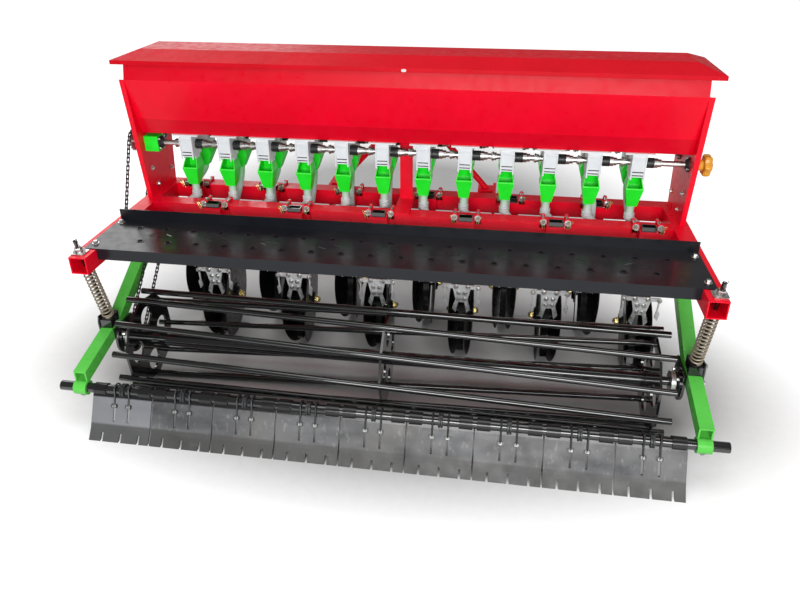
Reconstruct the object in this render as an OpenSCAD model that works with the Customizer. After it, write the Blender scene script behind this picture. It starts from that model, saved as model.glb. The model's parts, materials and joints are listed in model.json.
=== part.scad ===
// Mounted seed drill with double-disc openers, a cage roller and covering plates.
// +X is the right-hand side seen from behind, +Y the way it travels, +Z up, with the ground at z = 0.

/* [Rows] */
// Number of seed rows
rows = 12; // [8:2:14]
// Distance between neighbouring meters
row_pitch = 150; // [130:5:160]
// Distance between neighbouring openers
opener_pitch = 160; // [150:1:164]
// From half a pitch outside the last meter to the outer face of the side plate
side_margin = 100; // [90:1:130]

/* [Frame] */
// Side of the square frame tube
tube = 60; // [50:1:70]
// Wall of the frame tube
tube_wall = 4; // [3:0.5:6]
// Height of the underside of the frame
frame_z = 520; // [500:1:560]
// Distance between the two cross beams
beam_spacing = 210; // [200:1:240]
// How far the side rails reach behind the middle of the frame
rail_rear = 627; // [610:1:660]

/* [Hopper] */
// Middle of the hopper, in front of the middle of the frame
hopper_y = 15; // [10:1:20]
// Depth of the hopper over its shoulders
hopper_d = 330; // [310:1:360]
// From the crease at the foot of the outer panels up to the shoulder crease
panel_up = 154; // [130:1:180]
// From the shoulder crease up to the rim under the lid
rim_up = 60; // [54:1:70]
// How far the rim lies inside the shoulder
rim_in = 18; // [17:1:30]
// From the trough up to the crease at the foot of the outer panels
foot_up = 59; // [45:1:70]
// How far that crease lies inside the shoulder
foot_in = 50; // [40:1:60]
// From the top of the frame up to the flat trough that the meters hang from
trough_up = 259; // [240:1:290]
// Width of a trough
trough_w = 48; // [40:1:54]
// Middle of a trough from the middle of the hopper
trough_y = 70; // [66:1:76]
// From the trough up to the ridge between the troughs
ridge_up = 51; // [40:1:60]
// Thickness of the hopper sheet
sheet = 3; // [2:0.5:4]
// Thickness of the side plates
side_t = 4; // [3:0.5:6]
// Width of the outward flange along the side plates
side_flange = 14; // [10:1:18]
// How far the side plate narrows at its foot
side_in = 57; // [40:1:70]

/* [Lid] */
// How far the lid overhangs each side plate
lid_over = 42; // [36:1:50]
// Depth of the lid
lid_d = 314; // [310:1:324]
// How far the lid's edge hangs below the rim
lid_lap = 8; // [6:1:12]
// Height of the upright lip
lid_lip = 14; // [10:1:18]
// Rise of the sloped border above the lip
lid_rise = 28; // [20:1:36]
// Width of the sloped border
lid_border = 80; // [60:1:100]
// Radius of the hinge pins
hinge_r = 5; // [4:0.5:6]
// Wall of the hinge knuckles
hinge_wall = 4; // [3:0.5:5]
// Width of a hinge
hinge_w = 60; // [50:1:80]
// Gap between the lid's lip and the hinge
hinge_gap = 3; // [2:0.5:6]

/* [Metering] */
// Radius of the metering shafts
shaft_r = 10; // [8:0.5:12]
// Width of a meter housing
meter_w = 50; // [46:1:56]
// Depth of a meter housing
meter_d = 72; // [60:1:78]
// Height of a meter housing
meter_h = 86; // [80:1:96]
// Width of the flange on top of a meter
meter_flange_w = 100; // [80:1:110]
// Thickness of that flange
meter_flange_t = 5; // [4:0.5:8]
// Length of the legs that hold a meter's funnel
leg_h = 12; // [8:1:16]
// Width of a funnel at its lip
funnel_w = 60; // [54:1:70]
// Depth of a funnel at its lip
funnel_d = 68; // [60:1:76]
// Height of a seed funnel
funnel_h = 116; // [100:1:124]
// Height of a fertiliser funnel
fert_funnel_h = 76; // [66:1:84]
// Radius of the seed tubes
hose_r = 15; // [12:0.5:15]
// From a seed funnel down to the collar on its tube
collar_down = 36; // [28:1:38]
// How far a fertiliser funnel slants to the rear
fert_slant = 30; // [26:1:34]

/* [Openers] */
// Radius of the opener discs
disc_r = 175; // [160:1:178]
// Thickness of the opener discs
disc_t = 4; // [3:0.5:5]
// Half the angle that the discs open to the rear
disc_toe = 6; // [4:0.5:7]
// Half the angle that the discs open upwards
disc_camber = 3; // [1:0.5:4]
// Gap between a row's two discs where they are nearest
disc_nose = 7.2; // [5:0.1:14]
// Radius of a disc's stub axle
axle_r = 10; // [8:0.5:12]
// Radius of a disc's hub
hub_r = 45; // [36:1:52]
// Depth of a disc's hub
hub_h = 16; // [12:1:20]
// Width of the shank tube
shank_w = 50; // [44:1:56]
// Depth of the shank tube
shank_d = 30; // [26:1:36]
// Wall of the shank tube
shank_wall = 3; // [2:0.5:5]
// Thickness of the clamps that hold the shanks
clamp_t = 8; // [6:1:10]
// How far the shank stands above the frame
shank_up = 17; // [10:1:30]
// Thickness of the boot between the discs
boot_t = 24; // [18:1:26]
// How far the scraper sits behind the beam
scraper_back = 118; // [112:1:126]
// From the middle of the discs up to the scraper's cross bar
scraper_up = 172; // [164:1:180]
// Length of the scraper's cross bar
scraper_w = 130; // [120:1:136]

/* [Footboard] */
// How far the footboard reaches past the side plates
board_over = 12; // [4:1:24]
// Upstand of the footboard, behind the middle of the frame
board_front = 307; // [300:1:320]
// Depth of the footboard
board_d = 252; // [230:1:265]
// Height of the upstand and of the lip
board_h = 40; // [30:1:46]
// Thickness of the footboard
board_t = 3; // [2:0.5:5]
// Distance between the holes in a row
board_pitch = 100; // [80:1:120]
// Radius of the holes
board_hole_r = 8; // [5:0.5:10]
// Width of a diamond of slots
diamond_w = 92; // [70:1:110]
// Depth of a diamond of slots
diamond_d = 48; // [36:1:60]
// Width of a slot
diamond_slot = 5; // [3:0.5:7]

/* [Roller] */
// Radius over the roller's bars
roller_r = 182; // [176:1:184]
// Gap between the rear openers' discs and the roller
roller_gap = 16; // [10:1:40]
// Radius of the bars
bar_r = 11; // [9:0.5:13]
// Number of bars
bars = 10; // [6:1:12]
// Twist of the bars from end to end
bar_twist = 25; // [0:1:40]
// From the side plate's outer face in to the end of the bars
bar_in = 65; // [62:1:80]
// From the end of the bars in to the end disc
roller_disc_in = 45; // [30:1:60]
// Thickness of the roller's discs
roller_disc_t = 8; // [5:0.5:12]
// Radius of the roller's tube
roller_tube_r = 24; // [20:1:30]
// Radius of the roller's stub axles
stub_r = 15; // [12:0.5:18]

/* [Roller arms] */
// Side of the square arms
arm = 44; // [40:1:50]
// Wall of the arms
arm_wall = 5; // [4:0.5:7]
// Middle of the arms outside the side plates
arm_out = 10; // [8:1:14]
// From the underside of the frame down to the middle of the arm's front end
arm_drop = 50; // [46:1:60]
// Front end of the arm, behind the middle of the frame
arm_front = 80; // [70:1:90]
// Bend of the arm, in front of the roller's axle
bend_ahead = 8; // [4:1:12]
// From the roller's axle up to the bend
bend_up = 66; // [60:1:72]
// Radius of the pressure spring
spring_r = 20; // [16:0.5:22]
// Radius of the spring's wire
wire_r = 3.5; // [2.5:0.5:4]
// Number of coils
coils = 16; // [10:1:18]
// Radius of the spring's rod
rod_r = 7; // [5:0.5:9]

/* [Covering plates] */
// Gap between the roller and the middle of the cover bar
cover_gap = 79; // [72:1:100]
// Height of the cover bar
cover_z = 143; // [136:1:150]
// Radius of the cover bar
cover_r = 17; // [14:0.5:20]
// How far the cover bar reaches past the side plates
cover_over = 85; // [76:1:110]
// Number of plates
plates = 9; // [5:1:11]
// From the side plate's outer face in to the first plate
plate_in = 36; // [30:1:60]
// Gap between plates
plate_gap = 5; // [4:0.5:10]
// How far the plates trail behind the cover bar
plate_back = 98; // [80:1:120]

/* [Drive] */
// Chain pitch
chain_pitch = 15.875; // [12.7:0.005:19.05]
// Teeth on the roller and on the lower countershaft sprocket
lower_teeth = 20; // [16:1:22]
// Teeth on the upper countershaft sprocket
upper_teeth = 24; // [18:1:26]
// Teeth on the metering shafts
meter_teeth = 17; // [13:1:19]
// Countershaft behind the middle of the frame
counter_y = 180; // [174:1:190]
// From the underside of the frame down to the countershaft
counter_drop = 40; // [36:1:48]

/* [Hitch] */
// Distance over the lower link brackets
link_spread = 683; // [660:1:720]
// Radius of the lower link pins
link_r = 11; // [9:0.5:14]
// From the underside of the frame down to the lower link pins
link_drop = 20; // [10:1:40]
// Reach of the lower link pins in front of the frame
link_out = 115; // [110:1:130]
// Free length of the lower link pins
pin_free = 50; // [40:1:60]
// Thickness of the collar on a lower link pin
pin_collar = 6; // [4:1:10]
// From the lower link pins up to the top link
mast_h = 460; // [420:1:500]
// Radius of the top link bore
top_r = 9.65; // [9:0.05:13]
// Gap between the mast plates
mast_gap = 52; // [44:1:60]
// Thickness of the hitch plates
hitch_t = 12; // [8:1:16]

/* [Hidden] */
$fn = 48;

// Colours
red = "crimson";
green = "limegreen";
bright = "lightgray";
zinc = "silver";
dark = "dimgray";
black = "#1c1c1e";

// Clearances and overrun
run = 0.06;
seat = 0.3;
over = 5;

// Rings along a curved tube
curve_steps = 7;

// Places worked out from the driving sizes
disc_facing = cos(disc_toe) * cos(disc_camber);
disc_x = disc_nose / 2 + disc_r * sqrt(1 - disc_facing * disc_facing) + disc_t / 2 * disc_facing;
half_w = rows * row_pitch / 2 + side_margin;
frame_top = frame_z + tube;
beam_y = beam_spacing / 2;
beam_len = 2 * half_w - tube;
rail_front = beam_y + tube / 2;
link_z = frame_z - link_drop;
counter_z = frame_z - counter_drop;
trough_z = frame_top + trough_up;
ridge_z = trough_z + ridge_up;
foot_z = trough_z + foot_up;
shoulder_z = foot_z + panel_up;
rim_z = shoulder_z + rim_up;
lid_z = rim_z - lid_lap;
roller_y = beam_y + disc_r + roller_gap + roller_r;
arm_front_z = frame_z - arm_drop;
arm_bend = roller_y - bend_ahead;
arm_bend_z = roller_r + bend_up;
cover_y = roller_y + roller_r + cover_gap;
shank_y = tube / 2 + shank_d / 2;
seed_y = hopper_y - trough_y;
fert_y = hopper_y + trough_y;
meter_z = trough_z - meter_h;
shaft_z = meter_z + meter_h / 2;
arm_x = half_w + arm_out;
arm_end_z = cover_z + cover_r + arm / 2;
bar_end = half_w - bar_in;
roller_disc_x = bar_end - roller_disc_in;
bar_circle = roller_r - bar_r;
cover_half = half_w + cover_over;
rear_end = cover_y + plate_back;
front_end = rail_front + link_out + link_boss_r();
y_shift = (rear_end - front_end) / 2;

function link_boss_r() = 3 * link_r;
function row_x(i) = (i - (rows - 1) / 2) * row_pitch;
function opener_x(i) = (i - (rows - 1) / 2) * opener_pitch;
function is_rear(i) = i % 2 == 1;
function row_beam_y(i) = is_rear(i) ? -beam_y : beam_y;
function disc_names() = [for (i = [0 : rows - 1]) for (side = ["left", "right"]) disc_name(i, side)];
function disc_name(i, side) = str("disc_", i + 1, "_", side);
function pitch_radius(teeth) = chain_pitch / 2 / sin(180 / teeth);

// Shapes used by several pieces

module placed() translate([0, y_shift, 0]) children();

module both_sides() {
    children();
    mirror([1, 0, 0]) children();
}

module tube_x(length, side, wall) {
    rotate([90, 0, 90]) linear_extrude(length, center = true) difference() {
        square(side, center = true);
        square(side - 2 * wall, center = true);
    }
}

// A side profile drawn as (y, z) and extruded along X, centred on x
module profile(width, x = 0) {
    translate([x, 0, 0]) rotate([90, 0, 90]) linear_extrude(width, center = true) children();
}

module rod_between(from, to, radius) {
    run_vector = to - from;
    length = norm(run_vector);
    translate(from)
        rotate([0, acos(run_vector.z / length), atan2(run_vector.y, run_vector.x)])
            cylinder(h = length, r = radius);
}

// Points on a smooth path from one point to another that leaves and arrives upright
function s_curve(from, to) = [for (i = [0 : curve_steps])
    let (t = i / curve_steps, ease = t * t * (3 - 2 * t))
        [from.x + (to.x - from.x) * ease, from.y + (to.y - from.y) * ease, from.z + (to.z - from.z) * t]];

// A tube swept along points, as rings of facets joined end to end, with one radius or one for each
// point. Where end_way is given, both ends are cut square to it.
module sweep(points, radius, sides, across, end_way = undef) {
    last = len(points) - 1;
    function is_end(i) = i == 0 || i == last;
    function path_way(i) = points[min(i + 1, last)] - points[max(i - 1, 0)];
    function along(i) = is_end(i) && !is_undef(end_way) ? end_way : path_way(i);
    function unit(v) = v / norm(v);
    function size(i) = is_list(radius) ? radius[i] : radius;
    function ring(i) = let (a = unit(cross(along(i), across)), b = cross(unit(along(i)), a))
        [for (k = [0 : sides - 1]) let (angle = k * 360 / sides)
            points[i] + size(i) * (a * cos(angle) + b * sin(angle))];
    walls = [for (i = [0 : last - 1]) for (k = [0 : sides - 1])
        let (next = (k + 1) % sides, up = (i + 1) * sides)
            each [[i * sides + k, i * sides + next, up + next], [i * sides + k, up + next, up + k]]];
    first_cap = [for (k = [sides - 1 : -1 : 0]) k];
    last_cap = [for (k = [0 : sides - 1]) last * sides + k];
    polyhedron([for (i = [0 : last]) each ring(i)], concat([first_cap], walls, [last_cap]));
}

module shaft_x(from, to, radius) translate([from, 0, 0]) rotate([0, 90, 0])
    cylinder(h = to - from, r = radius);

// Frame

module side_rails() color(red) placed() both_sides() translate([half_w, 0, frame_z + tube / 2]) difference() {
    translate([0, (rail_front - rail_rear) / 2, 0]) rotate([0, 0, 90])
        tube_x(rail_front + rail_rear, tube, tube_wall);
    translate([arm_x - half_w, 0, -frame_z - tube / 2]) on_spring_axis()
        cylinder(h = 2 * frame_top, r = rod_r + run);
}

module cross_beams() color(red) placed() for (y = [-beam_y, beam_y]) translate([0, y, frame_z + tube / 2])
    tube_x(beam_len, tube, tube_wall);

post_w = 48;
post_t = 8;
ridge_slope = (ridge_z - sheet - trough_z) / (trough_y - trough_w / 2);

module hopper_post() color(red) placed() {
    translate([-tube / 2, -rail_front, frame_top]) cube([tube, 2 * rail_front, post_t]);
    translate([-post_w / 2, hopper_y - post_t / 2, frame_top])
        cube([post_w, post_t, ridge_z - sheet - post_t / 2 * ridge_slope - run - frame_top]);
}

// Three-point hitch

mast_top_z = link_z + mast_h;
mast_y = hopper_y + hopper_d / 2 + 2 * hitch_t;
mast_ear_r = 3 * top_r;
pin_collar_r = 16.5;

module hitch_frame() color(red) placed() {
    both_sides() {
        link_plate(link_spread / 2 - hitch_t / 2);
        link_plate(link_spread / 2 - tube - hitch_t / 2);
        link_step();
        mast_plate();
        mast_brace();
    }
}

// The plate between a pair of link plates, which the brace stands on
module link_step() translate([link_spread / 2 - tube, rail_front + link_out / 4, frame_top - hitch_t])
    cube([tube - hitch_t, link_out / 2, hitch_t]);

module link_plate(x) profile(hitch_t, x) difference() {
    union() {
        translate([rail_front, frame_z]) square([link_out, tube]);
        translate([rail_front + link_out, link_z]) circle(r = link_boss_r());
        translate([rail_front, link_z - link_boss_r()]) square([link_out, link_boss_r()]);
    }
    translate([rail_front + link_out, link_z]) circle(r = link_r + run);
}

module mast_plate() profile(hitch_t, mast_gap / 2 + hitch_t / 2) difference() {
    union() {
        polygon([[rail_front, frame_z], [rail_front + link_out, frame_z],
            [mast_y + mast_ear_r, frame_top + tube], [mast_y + mast_ear_r, mast_top_z],
            [mast_y - mast_ear_r, mast_top_z], [mast_y - mast_ear_r, frame_top + tube],
            [rail_front, frame_top]]);
        translate([mast_y, mast_top_z]) circle(r = mast_ear_r);
    }
    translate([mast_y, mast_top_z]) circle(r = top_r);
}

// A round brace from the mast down to the link plates
module mast_brace() {
    brace_top = [mast_gap / 2 + hitch_t / 2, mast_y, mast_top_z - 3 * mast_ear_r];
    brace_foot = [link_spread / 2 - (tube + hitch_t) / 2, rail_front + link_out / 2, frame_top - hitch_t / 2];
    difference() {
        rod_between(brace_foot, brace_top, hitch_t);
        translate([0, rail_front, frame_top + seat - tube]) cube([link_spread, link_out, tube]);
    }
}

module hitch_pins() color(zinc) placed() both_sides()
    translate([0, rail_front + link_out, link_z]) {
        outer_x = link_spread / 2 + seat;
        inner_x = link_spread / 2 - tube - hitch_t - seat;
        shaft_x(inner_x - hitch_t, outer_x + pin_collar + pin_free, link_r);
        shaft_x(inner_x - hitch_t, inner_x, pin_collar_r);
        shaft_x(outer_x, outer_x + pin_collar, pin_collar_r);
    }

// Hopper and lid

shoulder = hopper_d / 2;
rim = shoulder - rim_in;
foot = shoulder - foot_in;
trough_out = trough_y + trough_w / 2;
trough_inner = trough_y - trough_w / 2;

// The outer panel of one half, from the rim down to the trough, drawn at the +Y side
function panel_points(inset) = [[rim - inset, rim_z], [shoulder - inset, shoulder_z], [foot - inset, foot_z],
    [trough_out - inset, trough_z + inset]];

function flipped(points) = [for (i = [len(points) - 1 : -1 : 0]) [-points[i].x, points[i].y]];

// The outside of the hopper, seen from the side
module hopper_outline() polygon(concat(panel_points(0), [[trough_inner, trough_z], [0, ridge_z - sheet],
    [-trough_inner, trough_z]], flipped(panel_points(0))));

// The folds of one half, from the rim down to the trough and up to the ridge
function folds(inset) = concat(panel_points(inset),
    [[trough_inner, trough_z + inset], [inset / 2, ridge_z - sheet + inset]]);
panels = len(folds(0)) - 1;

// The flat panel below a fold, short of its neighbours by half a seat at each end
module panel_outline(fold) {
    outer = folds(0);
    inner = folds(sheet);
    run_vector = outer[fold + 1] - outer[fold];
    trim = run_vector / norm(run_vector) * seat / 2;
    polygon([outer[fold] + trim, outer[fold + 1] - trim, inner[fold + 1] - trim, inner[fold] + trim]);
}

hinge_y = lid_d / 2 + hinge_r + hinge_wall + hinge_gap;
hinge_z = lid_z;
hinge_shares = [-0.6, 0, 0.6];
hopper_half = half_w - side_t;
hopper_inner = hopper_half - sheet;
outlet_r = trough_w / 3;

// The panels of both halves: rim, outer panel, its foot, trough with the meters' inlets, and ridge
module hopper() color(red) placed() translate([0, hopper_y, 0]) {
    difference() {
        profile(2 * hopper_inner) for (side = [0, 1]) mirror([side, 0])
            for (fold = [0 : panels - 1]) panel_outline(fold);
        for (i = [0 : rows - 1]) for (y = [-trough_y, trough_y]) translate([row_x(i), y, trough_z - over])
            cylinder(h = sheet + 2 * over, r = outlet_r);
    }
    for (share = hinge_shares) translate([share * half_w, 0, 0]) hopper_hinge();
}

module hopper_ends() color(red) placed() translate([0, hopper_y, 0]) both_sides()
    profile(sheet, hopper_half - sheet / 2) hopper_outline();

// The sheet between the two compartments
module hopper_divider() color(red) placed() translate([-hopper_inner, hopper_y - sheet / 2, ridge_z])
    cube([2 * hopper_inner, sheet, rim_z - ridge_z]);

// A pair of lugs on the front panel that hold the hinge pin
module hopper_hinge() {
    lug_t = hinge_wall;
    lug_top = rim + rim_in * (rim_z - hinge_z + seat) / (rim_z - shoulder_z);
    for (x = [-1, 1]) profile(lug_t, x * (hinge_w / 2 + lug_t / 2)) {
        translate([hinge_y, hinge_z]) circle(r = hinge_r + hinge_wall);
        polygon([[shoulder - sheet / 2, shoulder_z + seat], [hinge_y + hinge_r, hinge_z - hinge_wall],
            [hinge_y - hinge_r, hinge_z - seat], [lug_top - sheet / 2, hinge_z - seat]]);
    }
    translate([0, hinge_y, hinge_z]) shaft_x(-hinge_w / 2 - lug_t, hinge_w / 2 + lug_t, hinge_r);
}

lid_w = 2 * (half_w + lid_over);
slope_inset_share = 1 / 3;

// The outline of a shallow pan of the given width, with its border sloping in
function pan_points(width, inset) = let (
        side = width / 2 - inset,
        crown = width / 2 - lid_border - slope_inset_share * inset,
        edge_z = lid_z - (inset > 0 ? over : 0),
        lip_z = lid_z + lid_lip - slope_inset_share * inset,
        crown_z = lid_z + lid_lip + lid_rise - inset)
    [[-side, edge_z], [side, edge_z], [side, lip_z], [crown, crown_z], [-crown, crown_z], [-side, lip_z]];

module pan(inset) intersection() {
    profile(lid_w + over) polygon(pan_points(lid_d, inset));
    rotate([90, 0, 0]) linear_extrude(lid_d + over, center = true) polygon(pan_points(lid_w, inset));
}

module lid() color(red) placed() translate([0, hopper_y, 0]) {
    difference() {
        pan(0);
        pan(sheet);
    }
    for (share = hinge_shares) translate([share * half_w, 0, 0]) lid_hinge();
}

module lid_hinge() profile(hinge_w - 2 * hinge_wall) difference() {
    union() {
        translate([hinge_y, hinge_z]) circle(r = hinge_r + hinge_wall);
        translate([lid_d / 2 - sheet / 2, hinge_z]) square([hinge_y - lid_d / 2, hinge_r + hinge_wall]);
    }
    translate([hinge_y, hinge_z]) circle(r = hinge_r + run);
}

module side_plates() color(red) placed() both_sides() difference() {
    union() {
        profile(side_t, half_w - side_t / 2) side_outline();
        profile(side_flange, half_w + side_flange / 2) difference() {
            side_outline();
            translate([0, -over]) side_outline(side_t);
        }
    }
    for (y = [seed_y, fert_y]) translate([0, y, shaft_z]) shaft_x(0, 2 * half_w, shaft_r + run);
}

module side_outline(inset = 0) translate([hopper_y, 0]) {
    half_top = shoulder - inset;
    half_foot = shoulder - side_in - inset;
    top_z = shoulder_z + (inset > 0 ? 2 * over : 0);
    polygon([[half_top, top_z], [half_foot, frame_top], [-half_foot, frame_top], [-half_top, top_z]]);
}

// Metering

module each_row(y) for (i = [0 : rows - 1]) translate([row_x(i), y, 0]) children();

leg_t = 3;
slot_w = 38;
slot_h = 4;
slot_depth = 6;
slot_places = [slot_h, 4 * slot_h];

// A housing under a broad flange, with two slots in its rear face and two legs for its funnel
module meter() difference() {
    union() {
        translate([-meter_w / 2, -meter_d / 2, meter_z]) cube([meter_w, meter_d, meter_h - meter_flange_t]);
        translate([-meter_flange_w / 2, -meter_d / 2, trough_z - meter_flange_t])
            cube([meter_flange_w, meter_d, meter_flange_t]);
        both_sides() translate([meter_w / 2 - leg_t, -meter_d / 4, meter_z - leg_h])
            cube([leg_t, meter_d / 2, leg_h + leg_t]);
        both_sides() rotate([90, 0, 0]) linear_extrude(leg_t, center = true) gusset();
    }
    translate([0, 0, shaft_z]) shaft_x(-meter_w, meter_w, shaft_r + run);
    for (place = slot_places) translate([-slot_w / 2, -meter_d / 2 - over, meter_z + place])
        cube([slot_w, over + slot_depth, slot_h]);
}

// The rib between a meter's flange and its side
module gusset() translate([meter_w / 2, trough_z - meter_flange_t]) {
    reach = (meter_flange_w - meter_w) / 2;
    polygon([[-leg_t, leg_t], [reach, leg_t], [reach, 0], [0, -reach / 2], [-leg_t, -reach / 2]]);
}

module seed_meters() color(bright) placed() each_row(seed_y) meter();
module fertiliser_meters() color(bright) placed() each_row(fert_y) meter();

funnel_wall = 3;

lip_share = 0.41;
end_half = hose_r + funnel_wall;

// Half the outline of a funnel on one side of its middle, from the top down
function funnel_side(top, lip, end, height, past) = [[top, -past], [top, leg_h], [lip, lip_share * height],
    [end, height], each past > 0 ? [[end, height + past]] : []];

// Both sides of that outline, with its lower end shifted
function funnel_outline(top, lip, end, height, past, shift) = let (
        side = funnel_side(top, lip, end, height, past),
        moved = function(p, way) [way * p.x - (p.y < height ? 0 : shift), p.y])
    concat([for (p = side) moved(p, 1)], [for (i = [len(side) - 1 : -1 : 0]) moved(side[i], -1)]);

// The outside of a funnel, or its hollow where inset is its wall
module funnel_form(height, slant, inset) {
    past = inset > 0 ? over : 0;
    top_w = meter_w / 2 - leg_t - seat - inset;
    intersection() {
        profile(2 * funnel_w) polygon(funnel_outline(meter_d / 2 - funnel_wall - inset, funnel_d / 2 - inset,
            end_half - inset, height, past, slant));
        rotate([90, 0, 0]) linear_extrude(4 * funnel_d, center = true)
            polygon(funnel_outline(top_w, funnel_w / 2 - inset, end_half - inset, height, past, 0));
    }
}

// A four-sided funnel that is open above its lip on the side that it faces
module funnel(height, slant, facing) translate([0, 0, meter_z]) mirror([0, 0, 1]) difference() {
    lip_h = lip_share * height;
    funnel_form(height, slant, 0);
    funnel_form(height, slant, funnel_wall);
    front = [[2 * funnel_d, -over], [2 * funnel_d, lip_h], [funnel_d / 2, lip_h], [0, -over]];
    profile(2 * funnel_w) polygon([for (p = front) [facing * p.x, p.y]]);
}

module seed_funnels() color(green) placed() each_row(seed_y) funnel(funnel_h, 0, -1);
module fertiliser_funnels() color(green) placed() each_row(fert_y) funnel(fert_funnel_h, fert_slant, 1);

socket_x = hose_r + funnel_wall;
socket_wall = 4;
socket_up = 55;
socket_z = 2 * disc_r + socket_up;
rear_socket_y = 5;
clear_y = tube / 2 + shank_d + clamp_t + hose_r + over;

// Where the tubes enter an opener, measured from its beam
function socket_y(i) = is_rear(i) ? rear_socket_y : -clear_y;

// The tubes of a row come down between the beams and end in its opener's sockets
module seed_tubes() color("whitesmoke") placed() for (i = [0 : rows - 1]) {
    outward = sign(opener_x(i));
    seed_end = [opener_x(i) + outward * socket_x, row_beam_y(i) + socket_y(i), socket_z];
    fert_end = [opener_x(i) - outward * socket_x, seed_end.y, socket_z];
    seed_from = [row_x(i), seed_y, meter_z - funnel_h];
    fert_from = [row_x(i), fert_y - fert_slant, meter_z - fert_funnel_h];
    knee = [seed_end.x, seed_from.y, frame_z + tube / 6];
    step = [fert_end.x, fert_end.y, frame_top + shank_up];
    stub = [for (down = stub_downs) seed_from - [0, 0, down]];
    hose(concat(stub, s_curve(knee, seed_end)), concat(stub_radii, [for (k = [0 : curve_steps]) hose_r]));
    hose(is_rear(i) ? s_curve(fert_from, fert_end) : concat(s_curve(fert_from, step), [fert_end]), hose_r);
}

collar_h = 16;
collar_step = 1;
stub_downs = [0, collar_down, collar_down + collar_step, collar_down + collar_h,
    collar_down + collar_h + collar_step];
stub_radii = [hose_r, hose_r, hose_r + funnel_wall, hose_r + funnel_wall, hose_r];

module hose(points, radius) sweep(points, radius, hose_sides, [1, 0, 0], [0, 0, -1]);
hose_sides = 10;

sleeve_r = 17;
sleeve_len = 42;
collar_r = 14;
collar_len = 12;
collar_gap = 14;

// A metering shaft with the sleeve and the two stop collars beside each meter
module metering_shaft(y, to) placed() translate([0, y, shaft_z]) {
    shaft_x(-chain_x - chain_w, to, shaft_r);
    for (i = [0 : rows - 1]) {
        sleeve_from = row_x(i) + meter_w / 2 + seat;
        shaft_x(sleeve_from, sleeve_from + sleeve_len, sleeve_r);
        shaft_x(sleeve_from + sleeve_len, sleeve_from + sleeve_len + collar_len, collar_r);
        collar_to = row_x(i) - meter_w / 2 - collar_gap;
        shaft_x(collar_to - collar_len, collar_to, collar_r);
    }
    translate([-chain_x, 0, 0]) sprocket(meter_teeth);
}

module seed_shaft() color(zinc) metering_shaft(seed_y, half_w + side_flange);
module fertiliser_shaft() color(zinc) metering_shaft(fert_y, half_w + side_flange);

box_w = 54;
box_h = 58;

module drive_box() color(green) placed() translate([-half_w + side_t, seed_y, shaft_z]) difference() {
    translate([0, -box_w / 2, -box_h / 2]) cube([box_w, box_w, box_h]);
    shaft_x(-over, box_w + over, shaft_r + run);
}

wheel_r = 32;
wheel_t = 14;
lobe_r = 8;
wheel_lobes = 6;
boss_r = 20;
boss_len = 42;

// A lobed wheel on a boss on the right-hand side plate
module handwheel() color("gold") placed() translate([half_w, seed_y, shaft_z]) difference() {
    union() {
        shaft_x(0, boss_len, boss_r);
        shaft_x(boss_len, boss_len + wheel_t, wheel_r);
        for (i = [0 : wheel_lobes - 1]) rotate([i * 360 / wheel_lobes, 0, 0]) translate([0, wheel_r, 0])
            shaft_x(boss_len, boss_len + wheel_t, lobe_r);
    }
    shaft_x(-over, side_flange + over, shaft_r + run);
}

// Openers

// Axis of a disc at the right of its row, along which its hub points outwards
module disc_axis(i) translate([opener_x(i), row_beam_y(i), disc_r]) children();
module right_disc_pose() translate([disc_x, 0, 0])
    rotate([0, disc_camber, disc_toe]) rotate([0, 90, 0]) children();

module opener_disc(i, side) color(dark) placed() disc_axis(i)
    mirror([side == "left" ? 1 : 0, 0, 0]) right_disc_pose() rotate_extrude() disc_section();

// Half a disc and its hub, cut through the axle
module disc_section() polygon(concat(
    [[axle_r + run, -disc_t / 2], [disc_r, -disc_t / 2], [disc_r, -disc_t / 4]],
    [[disc_r - disc_bevel, disc_t / 2]],
    [for (p = hub_shares) [p.x * hub_r, disc_t / 2 + p.y * (hub_h - disc_t / 2)]], [[axle_r + run, hub_h]]));

disc_bevel = 9;
// Steps of a disc's hub, as shares of its radius and of its depth
hub_shares = [[1, 0], [1, 0.36], [0.76, 0.36], [0.66, 1]];

// The boot's side outline from its row's beam, as shares of the disc radius
boot_shares = [[-0.34, 2.45], [-0.18, 2.4], [-0.12, 2.2], [0.12, 2.2], [0.16, 1.15], [0.08, 0.8],
    [-0.17, 0.34], [-0.54, 0.26], [-0.63, 0.34], [-0.4, 1.15], [-0.34, 1.9]];
socket_h = 30;
scraper_z = disc_r + scraper_up;
arm_t = 12;
shank_foot = 2 * disc_r;
shank_floor = 70;
axle_shoulder_r = 16;

module opener(i) {
    translate([opener_x(i), row_beam_y(i), 0]) {
        difference() {
            translate([-shank_w / 2, -shank_y - shank_d / 2, shank_foot])
                cube([shank_w, shank_d, frame_top + shank_up - shank_foot]);
            translate([0, -shank_y, shank_foot + shank_floor + frame_top / 2])
                cube([shank_w - 2 * shank_wall, shank_d - 2 * shank_wall, frame_top], center = true);
        }
        profile(boot_t) polygon(boot_shares * disc_r);
        translate([-arm_t / 2, -scraper_back, scraper_z - arm_t])
            cube([arm_t, scraper_back - shank_y, arm_t]);
        for (x = [-socket_x, socket_x]) translate([x, socket_y(i), socket_z - socket_h])
            cylinder(h = socket_h, r = hose_r + socket_wall);
        if (!is_rear(i)) translate([-arm_t / 2, socket_y(i), socket_z - socket_h])
            cube([arm_t, -socket_y(i) - shank_y, socket_h]);
    }
    disc_axis(i) both_sides() right_disc_pose() {
        translate([0, 0, -disc_x]) cylinder(h = disc_x + hub_h, r = axle_r);
        translate([0, 0, -disc_x]) cylinder(h = disc_x - disc_t / 2 - seat, r = axle_shoulder_r);
    }
}

module opener_bodies() color(black) placed() for (i = [0 : rows - 1]) opener(i);

clamp_h = 52;
clamp_w = 110;

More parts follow.
